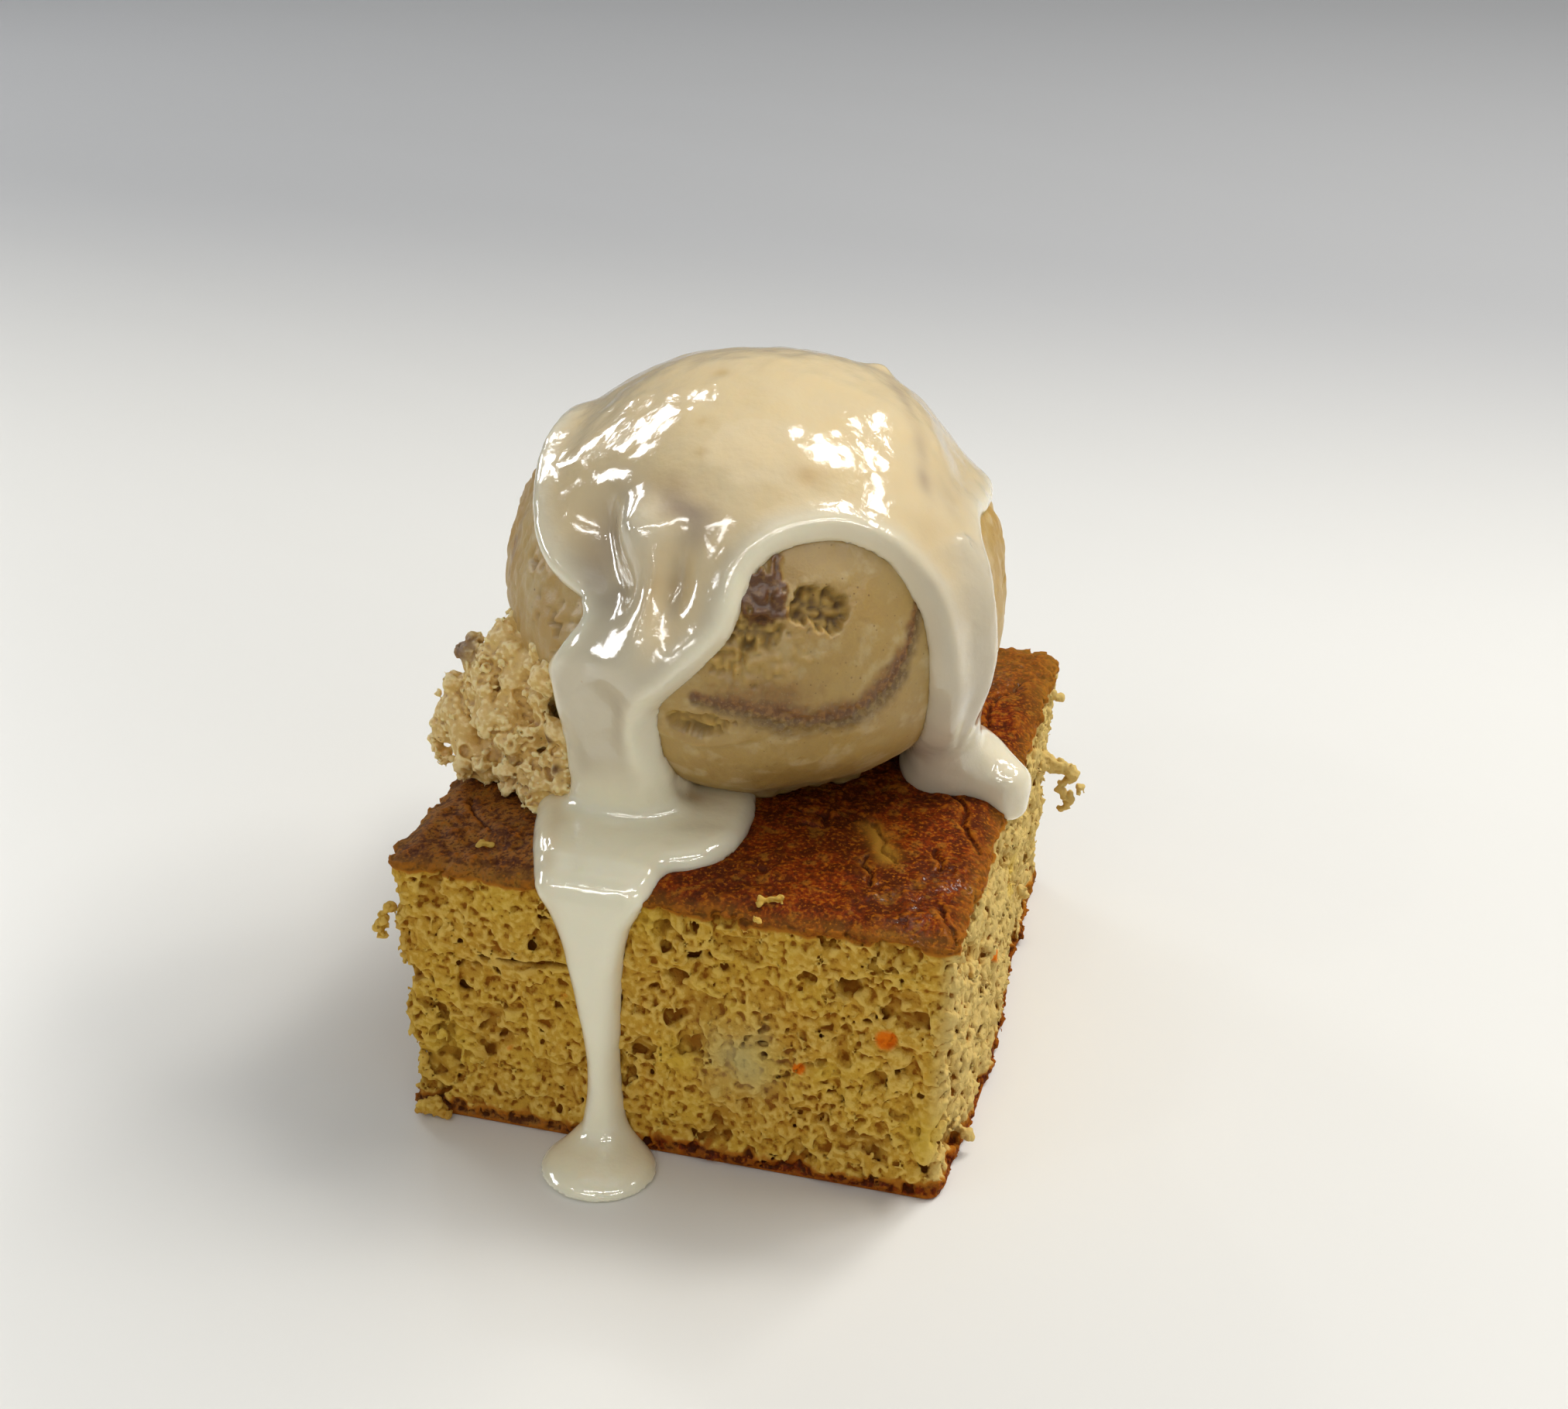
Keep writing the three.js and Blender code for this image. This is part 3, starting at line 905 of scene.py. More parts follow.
@dataclass
class Scoop:
    """The ball of ice cream: half an ellipsoid above its widest level, a shallower half below it."""

    radius: float = 34.8
    rise: float = 31.9
    drop: float = 26.4
    centre: Array = field(default_factory=lambda: np.array([0.6, 1.5, 66.5]))
    unevenness: float = 0.7
    around: int = 470
    up: int = 208
    noise: list[Noise] = field(default_factory=lambda: draw_noises(41, 5), repr=False)

    # The cinnamon swirl across the bare front, and the one under the icing, as azimuth and elevation.
    SWIRL = np.array([
        (1.7, -1.6), (6.8, -3.9), (12.8, -4.3), (18.8, -6), (25, -8), (32.4, -7.3), (38.7, -3.8), (44.3, 1.7),
        (47.9, 7.9), (49.6, 12.8), (51.2, 17.6),
    ])
    BURIED_SWIRL = np.array([(144, 60), (129, 61), (115, 59.5), (100, 57.6), (89, 55), (78, 48), (68, 41.5)])
    # Bumps and hollows of its smooth surface: azimuth and elevation, half width and half height, height.
    SWELLS = (
        ((-86, 14), (14, 11), 1), ((-86, 32), (9, 6), 0.9), ((-72, 52), (9, 7), -0.8),
        ((100, 37), (12, 6.8), -2.6), ((92, 8), (14, 13), -0.6), ((40, 62), (12, 8), -0.5),
        ((-25, 27), (9.5, 8.2), -2.7), ((-35, 34), (3.4, 4.2), -2.1), ((-28, 29), (3.4, 5.6), -2.1),
        ((-21, 20.5), (3.6, 3.4), -1.6), ((-4.6, 25), (1.6, 4.8), -2.2), ((-20, 35), (6.2, 4.2), 2.6),
        ((-14.5, 28), (3.4, 4), 1.2), ((-10.5, 21.5), (2.2, 4.6), 1), ((-19, 5), (8, 4.6), 1.2),
        ((-9, 9), (5.5, 6.5), 2.4), ((-30, 11), (5, 5), -1.6), ((136, 59), (1.6, 1.6), 0.8),
        ((20, -24), (24, 3.2), 0.5),
    )

    def spot(self, azimuth: Array, elevation: Array, at: Pair, half: Pair) -> Array:
        """How far out places are from the middle of an oval spot, 1 on its outline.

        Args:
            azimuth: The places' azimuths.
            elevation: Their elevations.
            at: The spot's azimuth and elevation.
            half: Its half width and half height in millimetres.

        Returns:
            One value for each place.
        """
        turn = (azimuth - at[0] + 180) % 360 - 180
        across = np.radians(turn) * np.cos(np.radians(elevation)) * self.radius / half[0]
        return np.hypot(across, np.radians(elevation - at[1]) * self.rise / half[1])

    def stains(
        self, azimuth: Array, elevation: Array, spots: Spots, start: Array, ragged: Array | float = 0
    ) -> Array:
        """A sum of bell curves round oval spots.

        Args:
            azimuth: The places' azimuths.
            elevation: Their elevations.
            spots: For each spot its azimuth and elevation, half width and half height, and strength.
            start: What the spots are added to.
            ragged: Noise that makes the outlines uneven.

        Returns:
            One value for each place.
        """
        for at, half, strength in spots:
            start = start + strength * bell(self.spot(azimuth, elevation, at, half) + ragged)
        return start

    def swell(self, azimuth: Array, elevation: Array) -> Array:
        """How far the smooth surface stands off the plain shape: soft bumps, the pressed hollow at the
        front on the left, and the nub and folds inside it. Each is a bell curve round its middle.

        Args:
            azimuth: The places' azimuths.
            elevation: Their elevations.

        Returns:
            The offset in millimetres.
        """
        a, e = np.radians(azimuth), np.radians(elevation)
        p, q = 3 * a, 2.5 * e
        wave = 2 * np.sin(p + 1.4) * np.cos(1.3 * q + 2.94) + np.sin(7 * a + 1.9 * q + 5.18)
        out = self.unevenness * np.cos(e) * wave / 3
        return self.stains(azimuth, elevation, self.SWELLS, out)

    def place(self, azimuth: Array, elevation: Array, offset: Array) -> Array:
        """Points of the scoop.

        Args:
            azimuth: The places' azimuths.
            elevation: Their elevations.
            offset: How far each stands off the plain shape.

        Returns:
            Rows of x, y, z.
        """
        a, e = np.radians(azimuth), np.radians(elevation)
        flat = (self.radius + offset) * np.cos(e)
        height = (np.where(e > 0, self.rise, self.drop) + offset) * np.sin(e)
        return np.stack([np.sin(a) * flat, -np.cos(a) * flat, height], -1) + self.centre

    def on_surface(self, stations: Array, offset: float = 0) -> Array:
        """The places on the smooth surface at rows of azimuth and elevation, as rows of x, y, z."""
        azimuth, elevation = stations[:, 0], stations[:, 1]
        return self.place(azimuth, elevation, self.swell(azimuth, elevation) + offset)

    def angles(self, points: Array) -> tuple[Array, Array, Array]:
        """Azimuth and elevation of points, and their rough distance outside the plain shape.

        The distance is the scaled radius less 1, over the length of its gradient.

        Args:
            points: Rows of x, y, z.

        Returns:
            The azimuths, the elevations and the distances.
        """
        x, y, z = (points - self.centre).T
        flat = np.hypot(x, y)
        rise = np.where(z > 0, self.rise, self.drop)
        scaled = np.hypot(flat / self.radius, z / rise)
        gradient = np.hypot(flat / self.radius**2, z / rise**2) / np.maximum(scaled, 1e-6)
        azimuth, elevation = np.degrees(np.arctan2(x, -y)), np.degrees(np.arctan2(z / rise, flat / self.radius))
        return azimuth, elevation, (scaled - 1) / np.maximum(gradient, 1e-4)

    def detail(self, azimuth: Array, elevation: Array, points: Array) -> tuple[Array, dict[str, Array]]:
        """The bare surface's small features.

        Args:
            azimuth: The places' azimuths.
            elevation: Their elevations.
            points: The places themselves.

        Returns:
            How far each place moves out, and the masks: pit where the inside is torn open, sunk in its
            gaps, which the finish darkens as painted shade, swirl on the swirl, low_side on its lower half,
            chunk on the brown piece, speck where spice lies thick.
        """
        ragged = self.noise[0].at(points, 1.5) * 0.34 + self.noise[1].at(points, 0.7) * 0.24
        crumb = 0.44 * self.noise[2].clumps(points, 1.3) + 0.4 * self.noise[3].at(points, 0.8)

        def torn(at: Pair, half: Pair, soft: float) -> Array:
            """1 inside a torn spot with a ragged outline."""
            return ease(1 + soft, 1 - soft, self.spot(azimuth, elevation, at, half) + ragged)

        hole = np.maximum(torn((25.9, 21.2), (2.7, 2.5), 0.08), torn((30.3, 20.0), (3.1, 2.3), 0.08))
        under_chunk = torn((13.1, 15.5), (4.1, 2.1), 0.2)
        crater = torn((7.4, 8.4), (2.4, 1.9), 0.3)
        field_of_crumb = torn((12.6, 8.6), (6.6, 4.2), 0.5)
        low_pit = np.maximum(torn((2.6, -11.4), (4.3, 2.0), 0.14), torn((-2.4, -9.8), (2.3, 1.5), 0.25))
        lip = bell((self.spot(azimuth, elevation, (2.0, -11.8), (5.8, 3.4)) - 1) / 0.2) * ease(-10, -13, elevation)
        chunk = np.maximum(torn((15.4, 23.3), (3.4, 3.3), 0.14), torn((18.3, 29.2), (0.9, 2.6), 0.3))
        wild = ease(-8, -30, azimuth) * ease(-170, -120, azimuth) + ease(86, 100, azimuth) + ease(-150, -175, azimuth)
        tears = wild * ease(45, 20, elevation)
        lean = points + 0.5 * self.noise[0].at(points, 6)[:, None]
        stretched = lean * np.array([1.5, 1.5, 0.3])
        drag = 0.7 * self.noise[2].at(stretched, 1.3) + 0.6 * self.noise[4].at(stretched, 0.7)
        pores = ease(0.3, 0.6, self.noise[3].at(lean * np.array([1.2, 1.2, 0.7]), 1.0))
        pores = pores * ease(-0.1, 0.4, self.noise[0].at(points, 7))
        foot = bell((elevation + 60) / 4.5)
        out = 0.08 * self.noise[1].at(points, 1.3) + 0.14 * self.noise[0].at(points, 4)
        out += 0.05 * self.noise[4].clumps(points, 0.8) * ease(-0.2, 0.4, self.noise[3].at(points, 6))
        out += -hole * (2.3 - crumb) - under_chunk * (1.4 - crumb) - crater * (0.6 - crumb) - low_pit * (1.4 - crumb)
        out += field_of_crumb * (0.75 * crumb - 0.1) + 0.34 * lip
        out += chunk * (0.75 + 0.5 * self.noise[2].clumps(points, 1.8) + 0.2 * crumb)
        out += tears * (0.4 * drag - 0.8 * pores) + foot * (0.9 + 1.6 * self.noise[2].at(points, 1.7))
        band, share = path_distance(points, self.on_surface(self.SWIRL))
        half = np.interp(share, [0, 0.1, 0.3, 0.45, 0.65, 0.85, 1], [1.4, 3.3, 4.2, 3.2, 3.1, 2.0, 1.2])
        wander = 0.9 * self.noise[0].at(points, 3.0) + 0.5 * self.noise[1].at(points, 1.0)
        swirl = ease(1.35, 0.1, (band + wander) / half)
        stained = bell(self.spot(azimuth, elevation, (16, 0.5), (8.5, 2.6)) + ragged)
        swirl = np.maximum(swirl, 0.62 * stained)
        line = np.interp(azimuth, *self.SWIRL.T)
        low_side = ease(0.5, -1.2, np.radians(elevation - line) * self.rise)
        out -= 0.22 * swirl * (0.4 + self.noise[3].clumps(points, 0.8))
        speck = bell(self.spot(azimuth, elevation, (37, 27), (8, 7)))
        speck += 0.6 * bell(self.spot(azimuth, elevation, (22, 4), (12, 6))) + 0.8 * bell(band / 5)
        streak = bell(self.spot(azimuth, elevation, (-66, 12), (1.6, 9)) + ragged)
        pit = np.maximum.reduce(
            [hole, under_chunk, 0.7 * crater, low_pit, 0.35 * field_of_crumb, 0.6 * tears * pores]
        )
        opened = np.maximum.reduce([hole, 0.8 * under_chunk, 0.6 * low_pit])
        # Painted shade: the low places of the torn crumb in the hole and the pores of the tears, which the finish
        # darkens.
        sunk = opened * ease(0.25, -0.45, crumb) + 0.5 * tears * pores
        return out, {
            "pit": pit,
            "sunk": sunk,
            "swirl": np.maximum(swirl, 0.55 * streak),
            "low_side": low_side,
            "chunk": chunk,
            "speck": speck,
        }

    def build(self, cake: Cake, finish: Material) -> Piece:
        """Makes the scoop on a grid of azimuth and elevation, closer over the bare front, with closed poles.

        Args:
            cake: What it rests on; no part of it goes below the crust.
            finish: Its material.

        Returns:
            The piece.
        """
        fine = np.linspace(-180, 180, 7201)
        bare_front = ease(-30, -8, fine) * ease(74, 58, fine)
        left = ease(-120, -90, fine) * ease(-20, -50, fine)
        azimuths = packed(fine, 1 + 2.4 * bare_front + 0.7 * left, self.around + 1)[:-1]
        fine = np.linspace(-90, 90, 3601)
        density = 0.75 + 0.9 * ease(-30, -15, fine) * ease(48, 38, fine)
        elevations = packed(fine, density, self.up + 2)[1:-1]
        grid = np.stack(np.meshgrid(elevations, azimuths, indexing="ij"), -1).reshape(-1, 2)
        grid = np.concatenate([grid, [[-90, 0], [90, 0]]])
        elevation, azimuth = grid.T
        swell = self.swell(azimuth, elevation)
        points = self.place(azimuth, elevation, swell)
        detail, masks = self.detail(azimuth, elevation, points)
        vertices = self.place(azimuth, elevation, swell + detail)
        floor = cake.crust_height(vertices[:, 0], vertices[:, 1]) + 0.1
        vertices[:, 2] = np.maximum(vertices[:, 2], floor)
        ring = np.arange(self.around)
        after = (ring + 1) % self.around
        rows = np.arange(self.up - 1)[:, None] * self.around
        quads = np.stack([rows + ring, rows + after, rows + self.around + after, rows + self.around + ring], -1)
        bottom, top = self.up * self.around, self.up * self.around + 1
        last = (self.up - 1) * self.around
        fans = np.concatenate(
            [
                np.stack([np.full(self.around, bottom), after, ring], 1),
                np.stack([np.full(self.around, top), last + ring, last + after], 1),
            ]
        )
        faces = [quads.reshape(-1, 4), fans]
        return make_piece("ice_cream_scoop_bare", vertices, faces, masks, finish, Node.SCOOP, Slot.ICE_CREAM)


# ---- the torn lump ----


@dataclass
class TornLump:
    """The crumbly clod of the same ice cream that leans on the scoop and hangs over the cake's edge."""

    step: float = 0.23
    noise: list[Noise] = field(default_factory=lambda: draw_noises(61, 4), repr=False)
    pores: list[Bubbles] = field(
        default_factory=lambda: [Bubbles(66, 1.5, 0.2, 0.5, 0.4), Bubbles(67, 3.4, 0.5, 1.1, 0.4)], repr=False
    )
    grains: list[Bubbles] = field(
        default_factory=lambda: [Bubbles(68, 0.9, 0.24, 0.44, 0.85), Bubbles(69, 2.2, 0.5, 0.85, 0.35)], repr=False
    )

    # The clod's rough parts: x, y, z and radius.
    PARTS = np.array([
        (-28.5, -16.5, 60.6, 4.6), (-26, -18, 56, 5.4), (-31.6, -17.6, 57.6, 4.6), (-34.4, -17.6, 53.8, 4.4),
        (-37, -17.8, 50.4, 3.8), (-40, -17.8, 47.6, 2.3), (-41.8, -17.6, 45.2, 1.5), (-40.6, -17.8, 43.4, 1.1),
        (-31, -19.4, 52, 5.2), (-26.2, -21, 51, 4.6), (-33.4, -17.2, 47, 3.8), (-28.4, -18.2, 46.2, 4.8),
        (-22.6, -23.4, 53.6, 2.3), (-21.6, -25, 49.6, 2.6), (-23.2, -24.8, 46.2, 2.9), (-25.2, -25.8, 43.4, 1.7),
        (-20.6, -25.8, 46, 1.8), (-22.2, -27.2, 43.6, 1.3), (-30.6, -14.6, 64.2, 2.2), (-27.4, -14.4, 64.6, 2),
        (-24.6, -20.6, 60.2, 2.2), (-25.6, -11.5, 52, 6.4), (-23.4, -22.4, 57.8, 1.8), (-35.9, -17.2, 59.9, 2.1),
        (-35.8, -19.4, 47.6, 3), (-34.6, -21, 45.4, 2.7), (-31.8, -22.4, 45.6, 3), (-28.6, -23.2, 45.4, 2.9),
        (-26, -24.6, 45.2, 2.4), (-22.2, -24.2, 60.6, 1.8), (-21.4, -24.8, 57, 1.9), (-20.7, -25.2, 53.6, 2),
        (-20.1, -25.5, 50.9, 1.8), (-19.6, -25.8, 48.5, 2.2), (-20.4, -26.2, 46.2, 2.3), (-23, -27.2, 44.6, 2),
        (-23.7, -28.3, 43.8, 1.3), (-24, -23, 64, 1.7), (-22.8, -23.6, 62.4, 1.6), (-37.8, -17.8, 54.4, 2.2),
    ])
    # Deep gaps in it, the same way.
    GAPS = np.array([
        (-21.2, -27, 48, 1), (-23.4, -25.6, 51.2, 1.5), (-29, -24.4, 47.6, 1.6), (-26.2, -25.6, 48.6, 1),
        (-33.4, -22.6, 48.6, 1.3), (-27.2, -22.8, 57, 1.2), (-22, -28.6, 46.2, 0.8), (-24.4, -24.8, 54.6, 1.2),
        (-31, -25.4, 46.4, 0.9), (-35.4, -22.6, 47.4, 0.8), (-27.6, -26.4, 45.4, 0.7),
    ])
    # Brown bits in it, the same way.
    BROWN = np.array([(-36.5, -17.5, 60.2, 2.6), (-21.6, -26.4, 53, 1), (-20.2, -27.6, 49.2, 0.8)])

    def solid(self, points: Array) -> Array:
        """The clod's field: rounded parts run together, torn by noise, covered with grains and pierced.

        Args:
            points: Rows of x, y, z.

        Returns:
            The field, positive inside.
        """
        bent = points + 0.6 * sway(points, self.noise[:3], 2.6)
        core = joined_balls(bent, self.PARTS, 1.0)
        smeared = ease(-0.2, 0.25, self.noise[3].at(points, 7.0))
        torn = ease(0, -0.35, self.noise[1].fractal(bent, 2.6, 3))
        solid = core + 0.75 * self.noise[0].clumps(points, 3.6) - 0.8 * torn
        solid += (0.52 - 0.24 * smeared) * self.noise[2].fractal(bent, 1.5, 3)
        fine = points + 0.16 * sway(points, self.noise[1:], 0.7)
        for grains, reach in zip(self.grains, (0.34, 0.5)):
            kept = np.minimum(-grains.distance(fine), solid + reach - 0.5 * smeared)
            solid = merge_high(solid, kept, 0.2)
        for pores in self.pores:
            solid = merge_low(solid, pores.distance(bent) + 0.35 + 3 * ease(2, 3.5, core), 0.2)
        for gap in self.GAPS:
            solid = merge_low(solid, lengths(bent - gap[:3]) - gap[3], 0.3)
        return solid

    def build(self, cake: Cake, scoop: Scoop, finish: Material) -> Piece:
        """Makes the lump, kept clear of the cake and the scoop.

        Args:
            cake: What it stands on.
            scoop: What it leans on.
            finish: Its material.

        Returns:
            The piece.
        """
        lattice = Lattice(np.array([-45.0, -30.5, 40.6]), np.array([-16.0, -6.5, 69.0]), self.step)

        def exact(points: Array) -> Array:
            """The clod cut off where the cake's crust and the scoop begin.

            Args:
                points: Rows of x, y, z.

            Returns:
                The field, positive inside.
            """
            azimuth, elevation, outside = scoop.angles(points)
            clear = outside - scoop.swell(azimuth, elevation) + 0.5
            above = -cake.body(*points.T) - 0.02
            return np.minimum(merge_low(self.solid(points), clear, 0.3), above)

        vertices, quads = lattice.surface(exact, 2000)
        # How far bumps stand out; the finish paints the tips paler and the gaps darker, as painted highlight and
        # shade.
        crest = standing(vertices, quads, 3) + standing(vertices, quads, 14)
        brown = sum(bell(lengths(vertices - spot[:3]) / spot[3]) for spot in self.BROWN)
        masks = {"crest": 0.5 + 0.125 * crest, "brown": brown + 0.4 * self.noise[0].at(vertices, 2) * brown}
        return make_piece("ice_cream_torn_lump", vertices, [quads], masks, finish, Node.LUMP, Slot.TORN)


# ---- the loose crumbs that stay on the cake ----


@dataclass
class LooseCrumbs:
    """Small crumbs that hang from the cake's faces or lie on its crust."""

    step: float = 0.2
    noise: list[Noise] = field(default_factory=lambda: draw_noises(81, 3), repr=False)

    # Each crumb is a run of balls: x, y, z and radius.
    CRUMBS = [
        [
            (12.1, -40.7, 41.9, 0.75), (13.3, -40.4, 42.1, 0.6), (14.5, -40.2, 42.1, 0.8), (15.3, -39.6, 41.9, 0.5),
        ],
        [(12, -43.3, 41, 0.45), (12.5, -43.5, 40.8, 0.35)],
        [(-27.4, -37.2, 41.8, 0.65), (-26.2, -37, 41.8, 0.5)],
        [(-39, -42, 32.8, 1), (-40, -42.6, 31.2, 0.9), (-40.6, -42.8, 29.9, 0.8), (-40, -43, 29, 0.6)],
        [(-34, -43.4, 1.5, 1.3), (-35.8, -43.8, 1, 0.9), (-32, -43.9, 0.9, 0.8), (-35.2, -44.2, 2.2, 0.7)],
        [
            (37.6, 31, 28.6, 1.6), (39.4, 31.4, 28, 1.3), (41, 31.6, 27.6, 1.1), (42.4, 31.8, 27, 1),
            (42.8, 32, 25.6, 0.9), (41.8, 32, 24.4, 0.8), (41.2, 32, 23.2, 0.75), (42.2, 32.2, 22.2, 0.8),
            (43.2, 32.2, 21.4, 0.7), (42.4, 32.4, 20.4, 0.7), (41.4, 32.4, 19.6, 0.6), (44.2, 32.2, 24.2, 0.6),
            (44.4, 32.2, 22.8, 0.5), (43.4, 32, 26.4, 0.7),
        ],
        [(38.2, 35.5, 38, 1), (39.6, 36, 37.2, 0.8)],
        [(38.9, -31, 3, 0.8), (39.6, -30.6, 2.4, 0.6)],
        [(38.6, 12, 16, 0.9), (39.4, 12.4, 15.2, 0.6)],
        [(-22, 43.8, 3, 0.9), (-23, 44.3, 2, 0.7)],
    ]

    def build(self, finish: Material) -> Piece:
        """Makes all the crumbs as one piece: balls run together, roughened by clumps of two sizes.

        Args:
            finish: The cake's material.

        Returns:
            The piece.
        """
        parts, count = [], 0
        for balls in map(np.array, self.CRUMBS):
            low = (balls[:, :3] - balls[:, 3:]).min(0) - 0.9
            lattice = Lattice(low, (balls[:, :3] + balls[:, 3:]).max(0) + 0.9, self.step)

            def exact(points: Array, balls: Array = balls) -> Array:
                """One crumb's field.

                Args:
                    points: Rows of x, y, z.
                    balls: The crumb's balls.

                Returns:
                    The field, positive inside.
                """
                bent = points + 0.35 * sway(points, self.noise, 1.2)
                core = joined_balls(bent, balls, 0.8)
                rough = 0.3 * self.noise[0].clumps(points, 1.1) + 0.14 * self.noise[1].clumps(points, 0.6)
                return np.minimum(core + rough, points[:, 2] - OFF_TABLE)

            vertices, quads = lattice.surface(exact, 20)
            parts.append((vertices, quads + count))
            count += len(vertices)
        vertices = np.concatenate([part[0] for part in parts])
        quads = np.concatenate([part[1] for part in parts])
        crest = standing(vertices, quads, 3)
        # Painted light: crumbs at the right side are paler.
        pale = ease(36, 39, vertices[:, 0])
        masks = {"crest": 0.62 + 0.15 * crest, "toast": 0.2 * ease(3, 1, vertices[:, 2]), "dry": pale}
        return make_piece("cake_loose_crumbs", vertices, [quads], masks, finish, Node.CAKE, Slot.CAKE)


# ---- the icing ----


def oval_depth(offsets: Array, halves: Array) -> Array:
    """Depth inside an oval: k0 (1 - k0) over the length of offsets / halves, k0 being the offsets' own length.

    Args:
        offsets: Rows of offsets from the middle, in shares of the halves.
        halves: The oval's half sizes.

    Returns:
        The depth, negative outside.
    """
    measure = lengths(offsets)
    return measure * (1 - measure) / np.maximum(lengths(offsets / halves), 1e-4)


@dataclass
class Run:
    """A run of icing along a path: rows of x, y, z, half width and half thickness, and the way it bulges."""

    stations: Array
    facing: Array

    def field(self, points: Array) -> Array:
        """Depth inside the run: at each piece of the path, inside an oval across it.

        Args:
            points: Rows of x, y, z.

        Returns:
            The depth, negative outside.
        """
        curve = spline(self.stations, 5)
        facing = self.facing / np.linalg.norm(self.facing)
        best = np.full(len(points), FAR_OUTSIDE)
        for start, end in zip(curve[:-1], curve[1:]):
            span = end[:3] - start[:3]
            away = points - start[:3]
            share = np.clip(away @ span / (span @ span), 0, 1)
            away = away - share[:, None] * span
            half = start[3:] + share[:, None] * (end[3:] - start[3:])
            side = np.cross(span, facing)
            side = side / np.linalg.norm(side)
            out = np.cross(side, span) / np.linalg.norm(span)
            along = span / np.linalg.norm(span)
            halves = half[:, [0, 1, 1]]
            offsets = np.stack([away @ side, away @ out, away @ along], 1) / halves
            best = np.maximum(best, oval_depth(offsets, halves))
        return best


def film(inward: Array, height: Array, thickness: Array, roll: Array | float) -> Array:
    """Depth inside a film with a rolled edge, whose section at the edge is a quarter oval.

    With k0 = |(1 - inward / roll, height / thickness)|, the first never below 0, the depth is
    k0 (1 - k0) over the same length with squared divisors.

    Args:
        inward: How far in from the film's outline.
        height: How far above what it lies on.
        thickness: The film's thickness away from its edge.
        roll: The width of the rolled edge.

    Returns:
        The depth, negative outside.
    """
    edge, up = np.maximum(1 - inward / roll, 0), height / thickness
    measure = np.hypot(edge, up)
    return measure * (1 - measure) / np.maximum(np.hypot(edge / roll, up / thickness), 1e-4)


